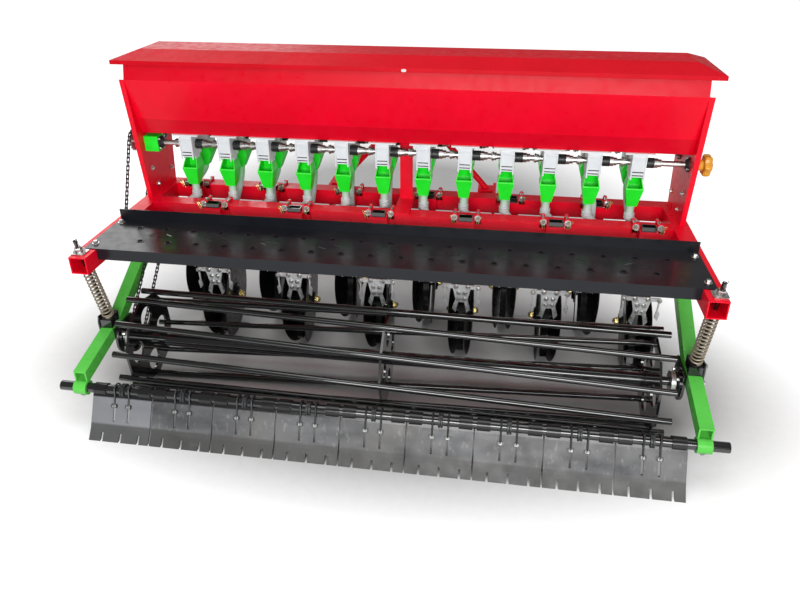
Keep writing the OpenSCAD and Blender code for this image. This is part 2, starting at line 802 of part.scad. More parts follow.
// A hat-shaped clamp that holds the shank against its beam
module shank_clamps() color(red) placed() for (i = [0 : rows - 1])
    translate([opener_x(i), row_beam_y(i) - tube / 2, frame_top - clamp_h])
        linear_extrude(clamp_h) clamp_outline();

module clamp_outline() difference() {
    hat_w = shank_w + 2 * clamp_t;
    union() {
        translate([-clamp_w / 2, -clamp_t]) square([clamp_w, clamp_t]);
        translate([-hat_w / 2, -shank_d - clamp_t]) square([hat_w, shank_d + clamp_t]);
    }
    translate([-shank_w / 2, -shank_d]) square([shank_w, shank_d + over]);
}

scraper_t = 6;
// Halves of the scraper's bar and plate, of an inner blade, and of an arm with its outer blade, as shares of
// the cross bar's length
scraper_plate_shares = [[0, 0.05], [0.5, 0.05], [0.5, -0.06], [0.25, -0.06], [0.15, -0.5], [0, -0.5]];
inner_blade_shares = [[0.06, -0.4], [0.17, -0.42], [0.26, -0.72], [0.16, -0.84]];
outer_blade_shares = [[0.455, -0.03], [0.495, -0.03], [0.485, -0.34], [0.54, -0.42], [0.5, -0.66],
    [0.41, -0.56], [0.445, -0.34]];

module scraper_half() for (shares = [scraper_plate_shares, inner_blade_shares, outer_blade_shares])
    polygon(shares * scraper_w);

module scrapers() color(zinc) placed() for (i = [0 : rows - 1])
    translate([opener_x(i), row_beam_y(i) - scraper_back, scraper_z]) rotate([90, 0, 0])
        linear_extrude(scraper_t) for (side = [0, 1]) mirror([side, 0]) scraper_half();

// Footboard

board_half = half_w + board_over;
board_rear = board_front + board_d;
hole_row_shares = [0.3, 0.7];
holes_half = floor((half_w - tube) / board_pitch);

module footboard() color(black) placed() difference() {
    profile(2 * board_half) {
        translate([-board_rear, frame_top]) square([board_d, board_t]);
        translate([-board_front - board_t, frame_top]) square([board_t, board_h]);
        translate([-board_rear, frame_top + board_t - board_h]) square([board_t, board_h]);
    }
    for (row = [0, 1]) for (i = [-holes_half : holes_half]) {
        hole_x = (i + row / 2) * board_pitch;
        if (abs(hole_x) < half_w - tube)
            translate([hole_x, -board_front - board_d * hole_row_shares[row], frame_top - over])
                cylinder(h = board_t + 2 * over, r = board_hole_r);
    }
    for (i = [-diamonds_half : diamonds_half])
        translate([2 * i * board_pitch, -board_front - board_d / 2, frame_top]) diamond();
    both_sides() translate([half_w - tube / 2 - seat, -board_rear - over, frame_top - board_h])
        cube([2 * tube, board_t + over, board_h]);
}

diamonds_half = floor((half_w - tube - diamond_w) / board_pitch / 2);
slot_share = 0.72;

// Four slots along the sides of a diamond
module diamond() {
    side = norm([diamond_w, diamond_d]) / 2;
    for (x = [-1, 1]) for (y = [-1, 1]) translate([x * diamond_w / 4, y * diamond_d / 4, 0])
        rotate(-x * y * atan2(diamond_d, diamond_w))
            cube([slot_share * side, diamond_slot, 2 * (board_t + over)], center = true);
}

// Roller arms, pressure springs and bearings

arm_rear = cover_y;
spring_foot_z = arm_bend_z + arm;

// Axis of the pressure spring, from its lower seat upwards
spring_foot_y = -arm_bend - arm;
spring_in = 54;
spring_lean = atan2(-spring_foot_y - rail_rear + spring_in, frame_z - spring_foot_z);
module on_spring_axis() translate([0, spring_foot_y, spring_foot_z]) rotate([-spring_lean, 0, 0]) children();

arm_fall = atan2(arm_front_z - arm_bend_z, arm_bend - arm_front);
arm_tail_fall = atan2(arm_bend_z - arm_end_z, arm_rear - arm_bend);

// Side outline of an arm, mitred at its bend
module arm_outline(width) {
    half_front = width / 2 / cos(arm_fall);
    half_tail = width / 2 / cos(arm_tail_fall);
    tilt = (arm_fall + arm_tail_fall) / 2;
    mitre = width / 2 / cos((arm_fall - arm_tail_fall) / 2) * [-sin(tilt), cos(tilt)];
    bend = [-arm_bend, arm_bend_z];
    polygon([[-arm_front, arm_front_z + half_front], bend + mitre, [-arm_rear, arm_end_z + half_tail],
        [-arm_rear, arm_end_z - half_tail], bend - mitre, [-arm_front, arm_front_z - half_front]]);
}

module roller_arms() color(green) placed() both_sides() difference() {
    union() {
        profile(arm, arm_x) arm_outline(arm);
        profile(arm, arm_x) translate([-cover_y, cover_z]) circle(r = cover_r + 2 * tube_wall);
    }
    profile(2 * arm, arm_x) translate([-cover_y, cover_z]) circle(r = cover_r + run);
    profile(arm - 2 * arm_wall, arm_x) arm_outline(arm - 2 * arm_wall);
}

module pivot_brackets() {
    cheek = 2 * tube_wall;
    color(red) placed() both_sides() translate([arm_x, 0, 0]) {
        translate([-arm / 2 - cheek, -arm_front - tube / 2, frame_z - cheek])
            cube([arm + 2 * cheek, tube, cheek]);
        for (x = [-1, 1]) profile(cheek, x * (arm / 2 + cheek / 2))
            translate([-arm_front - tube / 2, arm_front_z - arm / 2])
                square([tube, frame_z - arm_front_z + arm / 2]);
    }
}

function arm_top(y) = arm_bend_z + arm / 2 / cos(arm_tail_fall) - (-arm_bend - y) * tan(arm_tail_fall);
seat_half = spring_r + 2 * wire_r;
plate_bore_r = 22;

// The plate that carries the roller's bearing, and the saddle under the spring
module bearing_plates() color(black) placed() both_sides() {
    plate_side = 2 * tube_wall;
    seat_rear = spring_foot_y - seat_half * cos(spring_lean);
    seat_front = spring_foot_y + seat_half * cos(spring_lean);
    seat_rise = seat_half * sin(spring_lean);
    difference() {
        profile(plate_side, arm_x - arm / 2 - plate_side / 2) {
            translate([-roller_y, roller_r]) circle(r = tube);
            translate([-roller_y - tube, roller_r]) square([2 * tube, arm_bend_z - roller_r]);
        }
        translate([0, -roller_y, roller_r]) shaft_x(0, 2 * half_w, plate_bore_r);
    }
    profile(arm, arm_x) polygon([[seat_rear, arm_top(seat_rear)], [seat_rear, spring_foot_z + seat_rise],
        [seat_front, spring_foot_z - seat_rise], [seat_front, arm_top(seat_front)]]);
}

bearing_len = 26;
bearing_r = 36;

module roller_bearings() color(zinc) placed() both_sides() translate([0, -roller_y, roller_r]) difference() {
    inner_x = arm_x - arm / 2 - 2 * tube_wall;
    shaft_x(inner_x - bearing_len, inner_x, bearing_r);
    shaft_x(0, 2 * half_w, stub_r + run);
}

module spring_rods() color(zinc) placed() both_sides() translate([arm_x, 0, 0]) on_spring_axis()
    cylinder(h = frame_top - spring_foot_z + tube, r = rod_r);

coil_steps = 9;
wire_sides = 6;

module pressure_springs() color("tan") placed() both_sides() translate([arm_x, 0, 0]) on_spring_axis() {
    tilt_rise = (spring_r + wire_r) * sin(abs(spring_lean));
    height = (frame_z - seat - spring_foot_z - tilt_rise) / cos(spring_lean) - 2 * wire_r - seat;
    helix = [for (s = [0 : coils * coil_steps]) let (angle = s * 360 / coil_steps)
        [spring_r * cos(angle), spring_r * sin(angle), seat + wire_r + height * s / coils / coil_steps]];
    sweep(helix, wire_r, wire_sides, [0, 0, 1]);
}

// Cage roller

roller_disc_r = bar_circle - bar_r / 2;
disc_holes = 4;
hole_place_share = 0.55;
hole_size_share = 0.23;

module roller() color(black) placed() translate([0, -roller_y, roller_r]) {
    for (x = [-roller_disc_x, 0, roller_disc_x]) roller_disc(x);
    for (i = [0 : bars - 1]) rod_between(bar_point(i, -bar_end), bar_point(i, bar_end), bar_r);
    shaft_x(-roller_disc_x, roller_disc_x, roller_tube_r);
    shaft_x(-arm_x + arm / 2, arm_x - arm / 2, stub_r);
    translate([-lower_chain_x, 0, 0]) sprocket(lower_teeth);
}

// Where a bar's middle line is at a place along the roller
function bar_point(i, x) = let (angle = (i + 1 / 2) * 360 / bars - bar_twist * x / bar_end / 2)
    [x, bar_circle * sin(angle), bar_circle * cos(angle)];

// A flat-sided disc with a corner at each bar
module roller_disc(x) difference() {
    rotate([bar_twist * x / bar_end / 2 - 180 / bars, 0, 0])
        shaft_x(x - roller_disc_t / 2, x + roller_disc_t / 2, roller_disc_r, $fn = bars);
    for (i = [0 : disc_holes - 1]) rotate([i * 360 / disc_holes, 0, 0])
        translate([0, roller_disc_r * hole_place_share, 0])
            shaft_x(x - roller_disc_t, x + roller_disc_t, roller_disc_r * hole_size_share);
}

// Covering plates

plate_pitch = (2 * (half_w - plate_in) + plate_gap) / plates;

module cover_bar() color(black) placed() translate([0, -cover_y, cover_z])
    shaft_x(-cover_half, cover_half, cover_r);

// A plate's side outline from the cover bar, as shares of its reach and of the bar's height
plate_shares = [[-0.12, 0], [-0.72, -0.76], [-1, -1], [-0.9, -1], [-0.65, -0.76], [-0.06, 0]];
knuckle_wall = 4;
// Width and place of a knuckle, as shares of the distance between plates
knuckle_share = 0.2;
knuckle_place_share = 0.37;
// Slots and notches along a plate, as shares of that distance
slot_place_share = 0.1;
notch_place_shares = [-0.3, 0, 0.3];
// Upper and lower end of a slot and upper end of a notch, as shares of the bar's height
slot_ends_shares = [-0.3, -0.62];
notch_end_share = -0.84;
plate_slot_w = 7;
notch_w = 8;

module cover_plate() difference() {
    union() {
        profile(plate_pitch - plate_gap)
            polygon([for (p = plate_shares) [p.x * plate_back, p.y * cover_z]]);
        both_sides() profile(knuckle_share * plate_pitch, knuckle_place_share * plate_pitch)
            circle(r = cover_r + knuckle_wall);
    }
    profile(2 * plate_pitch) circle(r = cover_r + seat);
    both_sides() translate([slot_place_share * plate_pitch, -plate_back, slot_ends_shares[1] * cover_z])
        cube([plate_slot_w, plate_back, (slot_ends_shares[0] - slot_ends_shares[1]) * cover_z]);
    for (share = notch_place_shares) translate([share * plate_pitch, -plate_back - over, -cover_z - over])
        cube([notch_w, plate_back, over + (1 + notch_end_share) * cover_z]);
}

module cover_plates() color(dark) placed() for (i = [0 : plates - 1])
    translate([(i - (plates - 1) / 2) * plate_pitch, -cover_y, cover_z]) cover_plate();

// Drive

chain_w = 10;
chain_h = 9;
chain_x = half_w + arm_out + arm / 2 + 2 * tube_wall + chain_w;
lower_chain_x = bar_end + chain_w;
lower_r = pitch_radius(lower_teeth);
upper_r = pitch_radius(upper_teeth);
meter_r = pitch_radius(meter_teeth);

// A tooth's outline, as shares of the tooth pitch and of its height
tooth_shares = [[-0.3, 0], [-0.12, 1], [0.12, 1], [0.3, 0]];
tooth_h = 5.3;

module sprocket(teeth) {
    root_r = pitch_radius(teeth) - chain_h / 2 - 2 * seat - tooth_h;
    rotate([90, 0, 90]) linear_extrude(chain_w / 2, center = true) polygon([for (i = [0 : teeth - 1])
        for (p = tooth_shares) let (angle = (i + p.x) * 360 / teeth)
            (root_r + p.y * tooth_h) * [cos(angle), sin(angle)]]);
}

// The way a run of chain faces between two wheels, each given as its middle and its radius
function run_facing(a, b) = atan2(b.y - a.y, b.x - a.x) - acos((a.z - b.z) / norm([b.x - a.x, b.y - a.y]));
function on_wheel(wheel, angle) = [wheel.x, wheel.y] + wheel.z * [cos(angle), sin(angle)];

// The stretches of a chain in turn, a run and then an arc: its wheel, facing, length and whether it is an arc
function stretches(wheels) = let (count = len(wheels)) [for (i = [0 : count - 1])
    let (here = wheels[i], next = wheels[(i + 1) % count], after = wheels[(i + 2) % count],
        facing = run_facing(here, next), bend = (run_facing(next, after) - facing + 720) % 360)
            each [[here, facing, norm(on_wheel(next, facing) - on_wheel(here, facing)), false],
                [next, facing, next.z * bend * PI / 180, true]]];

function total(list, i = 0) = i < len(list) ? list[i][2] + total(list, i + 1) : 0;

// The point a distance along the chain, moved out across it
function chain_point(list, along, out, i = 0) = let (s = list[i], arc = s[3])
    along > s[2] && i < len(list) - 1 ? chain_point(list, along - s[2], out, i + 1) :
    let (facing = s[1] + (arc ? along / s[0].z * 180 / PI : 0), ahead = arc ? 0 : along)
        on_wheel(s[0], facing) + out * [cos(facing), sin(facing)] + ahead * [-sin(facing), cos(facing)];

// Corners of a link's outline, as shares of the chain's pitch and of its height
link_shares = [[0.22, 1], [0.78, 1], [1, 0.6]];

module chain_outline(wheels) {
    list = stretches(wheels);
    length = total(list);
    links = 2 * round(length / chain_pitch / 2);
    function edge(side) = [for (i = [0 : links - 1]) for (p = link_shares)
        chain_point(list, (i + p.x) * length / links, side * p.y * chain_h / 2)];
    difference() {
        polygon(edge(1));
        polygon(edge(-1));
    }
}

module chain_loop(x, wheels) placed() profile(chain_w, x) chain_outline(wheels);

module upper_chain() color(dark) chain_loop(-chain_x, [[-counter_y, counter_z, upper_r],
    [fert_y, shaft_z, meter_r], [seed_y, shaft_z, meter_r]]);
module lower_chain() color(dark) chain_loop(-lower_chain_x, [[-counter_y, counter_z, lower_r],
    [-roller_y, roller_r, lower_r]]);

module countershaft() color(zinc) placed() translate([0, -counter_y, counter_z]) {
    shaft_x(-chain_x - chain_w, -lower_chain_x + chain_w, shaft_r);
    translate([-chain_x, 0, 0]) sprocket(upper_teeth);
    translate([-lower_chain_x, 0, 0]) sprocket(lower_teeth);
}

module countershaft_bearing() color(black) placed() translate([-half_w, -counter_y, counter_z]) difference() {
    translate([-tube / 2, -tube / 2, -2 * shaft_r]) cube([tube, tube, frame_z - counter_z + 2 * shaft_r]);
    shaft_x(-tube, tube, shaft_r + run);
}

side_rails();
cross_beams();
hitch_frame();
hitch_pins();
side_plates();
hopper();
hopper_ends();
hopper_divider();
hopper_post();
seed_meters();
fertiliser_meters();
seed_funnels();
fertiliser_funnels();
seed_tubes();
opener_bodies();
shank_clamps();
scrapers();
footboard();
roller_arms();
pivot_brackets();
bearing_plates();
roller_bearings();
spring_rods();
pressure_springs();
cover_bar();
drive_box();
handwheel();
upper_chain();
lower_chain();
countershaft_bearing();
lid();
roller();
seed_shaft();
fertiliser_shaft();
countershaft();
cover_plates();
for (i = [0 : rows - 1]) for (side = ["left", "right"])
    opener_disc(i, side);
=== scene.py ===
"""Looks of a twelve-row mounted seed drill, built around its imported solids, in metres."""
import bpy
import json
import math
from mathutils import Matrix, Vector


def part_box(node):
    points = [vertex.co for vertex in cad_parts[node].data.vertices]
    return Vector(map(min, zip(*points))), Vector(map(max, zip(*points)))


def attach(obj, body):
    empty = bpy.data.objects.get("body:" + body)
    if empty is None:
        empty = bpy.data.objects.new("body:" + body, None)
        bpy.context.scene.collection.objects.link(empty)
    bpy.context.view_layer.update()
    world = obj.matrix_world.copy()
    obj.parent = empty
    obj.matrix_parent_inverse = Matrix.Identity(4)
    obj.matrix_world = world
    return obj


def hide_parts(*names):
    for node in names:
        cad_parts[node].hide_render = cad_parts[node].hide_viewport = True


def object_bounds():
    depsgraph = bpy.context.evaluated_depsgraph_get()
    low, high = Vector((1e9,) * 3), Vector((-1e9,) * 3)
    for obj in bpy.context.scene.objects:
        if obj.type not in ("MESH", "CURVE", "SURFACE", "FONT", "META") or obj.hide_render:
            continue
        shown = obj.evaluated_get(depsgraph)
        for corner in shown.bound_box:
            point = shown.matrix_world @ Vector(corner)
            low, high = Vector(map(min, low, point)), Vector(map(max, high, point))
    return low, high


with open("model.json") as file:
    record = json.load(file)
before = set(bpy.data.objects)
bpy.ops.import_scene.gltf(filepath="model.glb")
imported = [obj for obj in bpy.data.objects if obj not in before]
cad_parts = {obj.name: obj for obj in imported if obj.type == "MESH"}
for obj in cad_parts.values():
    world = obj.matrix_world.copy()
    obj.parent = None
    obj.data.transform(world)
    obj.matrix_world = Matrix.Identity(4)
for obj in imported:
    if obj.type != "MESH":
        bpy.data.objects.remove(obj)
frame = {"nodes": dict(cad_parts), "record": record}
cad_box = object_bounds()
nodes = frame["nodes"]

# Materials

# Where a finish, painted shade or light changes, in metres in the part's frame: from the first look to the second
# Painted green light at the top of the tubes, from their funnels
TUBE_GREEN_LIGHT_Z = (0.608, 0.645)
PLATE_EDGE_Z = (0.050, 0.044)
PLATE_BAR_Z = (0.124, 0.128)
FIRST_PLATE_X = (-0.755, -0.750)
# Heights of the hopper's painted shade: below its fold and above its rim
HOPPER_FOLD_SHADE_Z = (0.8975, 0.8985)
HOPPER_RIM_SHADE_Z = (1.0520, 1.0530)

DUST_GREY = (0.42, 0.40, 0.37)
# Red of the painted shade on the hopper, and how strongly it is painted below the fold and above the rim
PAINTED_SHADE_RED = (0.42, 0.001, 0.008)
FOLD_SHADE_DEPTH, RIM_SHADE_DEPTH = 0.35, 0.55
FINE_BUMP = 0.0004
# The Mix node's colour sockets, which share their names with its other ones
FIRST_COLOUR, SECOND_COLOUR, MIXED_COLOUR = 6, 7, 2


def new_material(name):
    """A new material, its node tree, its shader and the place of a point in the part's own frame."""
    material = bpy.data.materials.new(name)
    material.use_nodes = True
    tree = material.node_tree
    shader = tree.nodes["Principled BSDF"]
    place = tree.nodes.new("ShaderNodeTexCoord")
    return material, tree, shader, place.outputs["Object"]


def noise(tree, place, scale, detail=3.0, stretch=(1, 1, 1)):
    """A noise value from 0 to 1, whose grain is longer along an axis with a factor below 1."""
    mapping = tree.nodes.new("ShaderNodeMapping")
    mapping.inputs["Scale"].default_value = stretch
    tree.links.new(place, mapping.inputs["Vector"])
    texture = tree.nodes.new("ShaderNodeTexNoise")
    texture.inputs["Scale"].default_value = scale
    texture.inputs["Detail"].default_value = detail
    tree.links.new(mapping.outputs["Vector"], texture.inputs["Vector"])
    return texture.outputs["Fac"]


def spread(tree, value, low, high, start=0.3, end=0.7):
    """A value that goes from low to high while another goes from start to end."""
    node = tree.nodes.new("ShaderNodeMapRange")
    node.inputs["From Min"].default_value = start
    node.inputs["From Max"].default_value = end
    node.inputs["To Min"].default_value = low
    node.inputs["To Max"].default_value = high
    tree.links.new(value, node.inputs["Value"])
    return node.outputs["Result"]


def mix_colours(tree, factor, first, second):
    """A colour between two, where either may be a fixed colour or another node's output."""
    node = tree.nodes.new("ShaderNodeMix")
    node.data_type = "RGBA"
    tree.links.new(factor, node.inputs["Factor"])
    for socket, colour in ((FIRST_COLOUR, first), (SECOND_COLOUR, second)):
        if isinstance(colour, tuple):
            node.inputs[socket].default_value = (*colour, 1)
        else:
            tree.links.new(colour, node.inputs[socket])
    return node.outputs[MIXED_COLOUR]


def add_bump(tree, shader, height, strength, distance=FINE_BUMP):
    bump = tree.nodes.new("ShaderNodeBump")
    bump.inputs["Strength"].default_value = strength
    bump.inputs["Distance"].default_value = distance
    tree.links.new(height, bump.inputs["Height"])
    tree.links.new(bump.outputs["Normal"], shader.inputs["Normal"])


def coordinate(tree, vector, axis):
    """A vector's share along an axis, such as the height of a place in metres."""
    split = tree.nodes.new("ShaderNodeSeparateXYZ")
    tree.links.new(vector, split.inputs["Vector"])
    return split.outputs[axis]


def facing_up(tree):
    """1 on faces that look up and 0 on upright faces and below."""
    geometry = tree.nodes.new("ShaderNodeNewGeometry")
    return spread(tree, coordinate(tree, geometry.outputs["Normal"], "Z"), 0, 1, start=0.3, end=0.95)


def multiply(tree, first, second):
    node = tree.nodes.new("ShaderNodeMath")
    node.operation = "MULTIPLY"
    for socket, value in zip(node.inputs, (first, second)):
        if isinstance(value, float):
            socket.default_value = value
        else:
            tree.links.new(value, socket)
    return node.outputs["Value"]


def paint(name, colour, shade, roughness, dust=0.0, coat=0.6, gloss=0.5):
    """Sprayed enamel: faint clouds in its colour, orange peel, and dust on what faces up."""
    material, tree, shader, place = new_material(name)
    clouds = spread(tree, noise(tree, place, scale=7.0), 0, 1)
    base = mix_colours(tree, clouds, shade, colour)
    if dust > 0:
        specks = spread(tree, noise(tree, place, scale=9.0, detail=8.0), 0, dust)
        base = mix_colours(tree, multiply(tree, facing_up(tree), specks), base, DUST_GREY)
    tree.links.new(base, shader.inputs["Base Color"])
    grain = noise(tree, place, scale=34.0, detail=5.0)
    tree.links.new(spread(tree, grain, roughness * 0.75, roughness * 1.35), shader.inputs["Roughness"])
    shader.inputs["Specular IOR Level"].default_value = gloss
    shader.inputs["Coat Weight"].default_value = coat
    shader.inputs["Coat Roughness"].default_value = 0.08
    add_bump(tree, shader, noise(tree, place, scale=420.0, detail=2.0), strength=0.02)
    return material


def red_enamel(name):
    """The red of the frame and the hopper."""
    return paint(name, (0.88, 0.001, 0.022), (0.79, 0.001, 0.016), 0.34, coat=0.05, gloss=0.18)


def moulded(name, colour, shade, low, high):
    """Plastic with a fine grain and slightly uneven colour, rough between two limits."""
    material, tree, shader, place = new_material(name)
    clouds = spread(tree, noise(tree, place, scale=22.0), 0, 1)
    base = mix_colours(tree, clouds, shade, colour)
    tree.links.new(base, shader.inputs["Base Color"])
    tree.links.new(spread(tree, noise(tree, place, scale=90.0), low, high), shader.inputs["Roughness"])
    add_bump(tree, shader, noise(tree, place, scale=700.0, detail=2.0), strength=0.06)
    return material, tree, shader, place, base


def plastic(name, colour, shade, roughness, gloss=0.5):
    """Opaque moulded plastic."""
    material, _, shader, _, _ = moulded(name, colour, shade, roughness * 0.85, roughness * 1.2)
    shader.inputs["Specular IOR Level"].default_value = gloss
    return material


def tube_plastic():
    """Milky tube, with the green light from its funnel painted on at the top."""
    material, tree, shader, place, milk = moulded("clear_tube", (0.62, 0.68, 0.68), (0.50, 0.57, 0.56),
                                                  0.26, 0.4)
    green_light = spread(tree, coordinate(tree, place, "Z"), 0, 0.75, *TUBE_GREEN_LIGHT_Z)
    tree.links.new(mix_colours(tree, green_light, milk, (0.22, 0.78, 0.30)), shader.inputs["Base Color"])
    shader.inputs["Transmission Weight"].default_value = 0.12
    shader.inputs["IOR"].default_value = 1.46
    return material


def metal(name, colour, shade, roughness, metallic=1.0):
    """Bare or plated steel with clouded patches and a fine grain."""
    material, tree, shader, place = new_material(name)
    patches = spread(tree, noise(tree, place, scale=45.0, detail=6.0), 0, 1)
    tree.links.new(mix_colours(tree, patches, shade, colour), shader.inputs["Base Color"])
    shader.inputs["Metallic"].default_value = metallic
    grain = noise(tree, place, scale=120.0, detail=6.0)
    tree.links.new(spread(tree, grain, roughness * 0.7, roughness * 1.4), shader.inputs["Roughness"])
    add_bump(tree, shader, noise(tree, place, scale=600.0, detail=3.0), strength=0.08)
    return material


def worn_plate():
    """Dark painted plates, worn in bands along the bar, dusty and scratched. The first one is paler, their
    lower edges are darker and their knuckles on the bar are black and smoother."""
    material, tree, shader, place = new_material("worn_plate")
    height = coordinate(tree, place, "Z")
    grain = noise(tree, place, scale=16.0, detail=6.0, stretch=(0.3, 1.0, 1.0))
    bands = spread(tree, grain, 0, 1, start=0.36, end=0.64)
    base = mix_colours(tree, bands, (0.040, 0.041, 0.045), (0.115, 0.116, 0.121))
    dust = spread(tree, noise(tree, place, scale=6.0, detail=8.0), 0, 0.7, start=0.45, end=0.7)
    base = mix_colours(tree, dust, base, (0.125, 0.122, 0.114))
    grain = noise(tree, place, scale=70.0, detail=9.0, stretch=(1.0, 0.5, 0.5))
    scratches = spread(tree, grain, 0, 0.6, start=0.58, end=0.74)
    base = mix_colours(tree, scratches, base, (0.24, 0.24, 0.23))
    first = spread(tree, coordinate(tree, place, "X"), 0.6, 0, *FIRST_PLATE_X)
    base = mix_colours(tree, first, base, (0.25, 0.26, 0.28))
    base = mix_colours(tree, spread(tree, height, 0, 0.8, *PLATE_EDGE_Z), base, (0.048, 0.047, 0.045))
    base = mix_colours(tree, spread(tree, height, 0, 1, *PLATE_BAR_Z), base, (0.010, 0.010, 0.011))
    tree.links.new(base, shader.inputs["Base Color"])
    rough = spread(tree, noise(tree, place, scale=18.0, detail=6.0), 0.36, 0.6)
    smoother = spread(tree, height, 1, 0.4, *PLATE_BAR_Z)
    tree.links.new(multiply(tree, rough, smoother), shader.inputs["Roughness"])
    shader.inputs["Specular IOR Level"].default_value = 0.4
    add_bump(tree, shader, noise(tree, place, scale=60.0, detail=6.0), strength=0.12, distance=0.001)
    return material


def paint_fold_shade(material, below, above):
    """Paints shade into a red below one span of heights and above another, where the folds stand in the shade."""
    tree = material.node_tree
    socket = tree.nodes["Principled BSDF"].inputs["Base Color"]
    base = socket.links[0].from_socket
    place = tree.nodes.new("ShaderNodeTexCoord").outputs["Object"]
    height = coordinate(tree, place, "Z")
    base = mix_colours(tree, spread(tree, height, FOLD_SHADE_DEPTH, 0, *below), base, PAINTED_SHADE_RED)
    base = mix_colours(tree, spread(tree, height, 0, RIM_SHADE_DEPTH, *above), base, PAINTED_SHADE_RED)
    tree.links.new(base, socket)
    return material


MATERIALS = {
    "red_paint": red_enamel("red_enamel"),
    "green_paint": paint("green_enamel", (0.11, 0.58, 0.075), (0.085, 0.49, 0.058), 0.3,
                         coat=0.1, gloss=0.25),
    "black_paint": paint("black_enamel", (0.006, 0.0065, 0.007), (0.004, 0.004, 0.0045), 0.1,
                         coat=0.6, gloss=0.55),
    "disc_steel": paint("black_disc", (0.006, 0.0062, 0.0068), (0.004, 0.0042, 0.0045), 0.3,
                        coat=0.05, gloss=0.15),
    "green_plastic": plastic("green_plastic", (0.02, 0.84, 0.03), (0.012, 0.74, 0.02), 0.36, gloss=0.2),
    "white_plastic": plastic("white_plastic", (0.72, 0.75, 0.77), (0.66, 0.69, 0.72), 0.34, gloss=0.3),
    "clear_tube": tube_plastic(),
    "yellow_plastic": plastic("yellow_plastic", (0.74, 0.34, 0.02), (0.66, 0.28, 0.015), 0.3),
    "zinc": metal("zinc_plate", (0.62, 0.62, 0.60), (0.42, 0.42, 0.41), 0.34),
    "spring_steel": metal("spring_steel", (0.36, 0.30, 0.22), (0.25, 0.21, 0.15), 0.42, metallic=0.25),
    "chain_steel": metal("chain_steel", (0.10, 0.095, 0.09), (0.05, 0.047, 0.045), 0.34, metallic=0.9),
    "dark_steel": worn_plate(),
}
BLACK_RUBBER = plastic("black_rubber", (0.022, 0.023, 0.025), (0.014, 0.015, 0.016), 0.38)
# A lighter green on the funnels' lips: a painted highlight
RIM_HIGHLIGHT_GREEN = plastic("green_rim_painted_highlight", (0.16, 0.86, 0.13), (0.10, 0.80, 0.08), 0.28)
YELLOW_ZINC = metal("yellow_zinc", (0.80, 0.62, 0.22), (0.62, 0.50, 0.22), 0.26)
STEP_BLACK = paint("step_enamel", (0.011, 0.0125, 0.016), (0.008, 0.009, 0.012), 0.2,
                   dust=0.015, coat=0.04, gloss=0.2)
# The lid's red: the frame's red painted darker, a painted shade
LID_RED_PAINTED_SHADE = paint("lid_enamel_painted_shade", (0.60, 0.001, 0.012), (0.53, 0.001, 0.008), 0.42, coat=0.0, gloss=0.12)
BRIGHT_ZINC = metal("bright_zinc", (0.68, 0.69, 0.70), (0.52, 0.53, 0.54), 0.34, metallic=0.45)
DULL_ZINC = metal("dull_zinc", (0.40, 0.40, 0.39), (0.30, 0.30, 0.29), 0.5, metallic=0.5)
# The hopper's red, with shade painted in below its fold and above its rim
HOPPER_RED_PAINTED_SHADE = paint_fold_shade(red_enamel("hopper_enamel_painted_shade"), HOPPER_FOLD_SHADE_Z, HOPPER_RIM_SHADE_Z)
NODE_MATERIALS = {"hopper": HOPPER_RED_PAINTED_SHADE, "lid": LID_RED_PAINTED_SHADE, "footboard": STEP_BLACK, "scrapers": BRIGHT_ZINC,
                  "spring_rods": MATERIALS["black_paint"]}

for subpart in frame["record"]["subparts"]:
    mesh = nodes[subpart["node"]].data
    mesh.materials.clear()
    mesh.materials.append(NODE_MATERIALS.get(subpart["node"], MATERIALS[subpart["material_slot"]]))

# Shapes of fittings, drawn in millimetres from the middle of the frame and made in metres

MM = 0.001
FRAME_MIDDLE = (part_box("cross_beams")[0].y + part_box("cross_beams")[1].y) / 2
X, Y, Z = Vector((1, 0, 0)), Vector((0, 1, 0)), Vector((0, 0, 1))
SIDES = (-1, 1)
SMOOTH_ANGLE, BEVEL_ANGLE = math.radians(38), math.radians(40)
WASHER_T, WASHER_CHAMFER = 2.0, (0.5, 0.4)
# Radii of a washer and of a hexagon's corners, as parts of the size across the flats
WASHER_R, CORNER_R = 0.92, 0.577
THREAD_PITCH = 1.5


def turned(angle, first, second):
    """The direction at an angle in degrees from the first towards the second."""
    return math.cos(math.radians(angle)) * first + math.sin(math.radians(angle)) * second


def across(along):
    """Two directions square to one and to each other, right-handed about it."""
    w = along.normalized()
    u = (Z if abs(w.z) < 0.9 else X).cross(w).normalized()
    return u, w.cross(u)


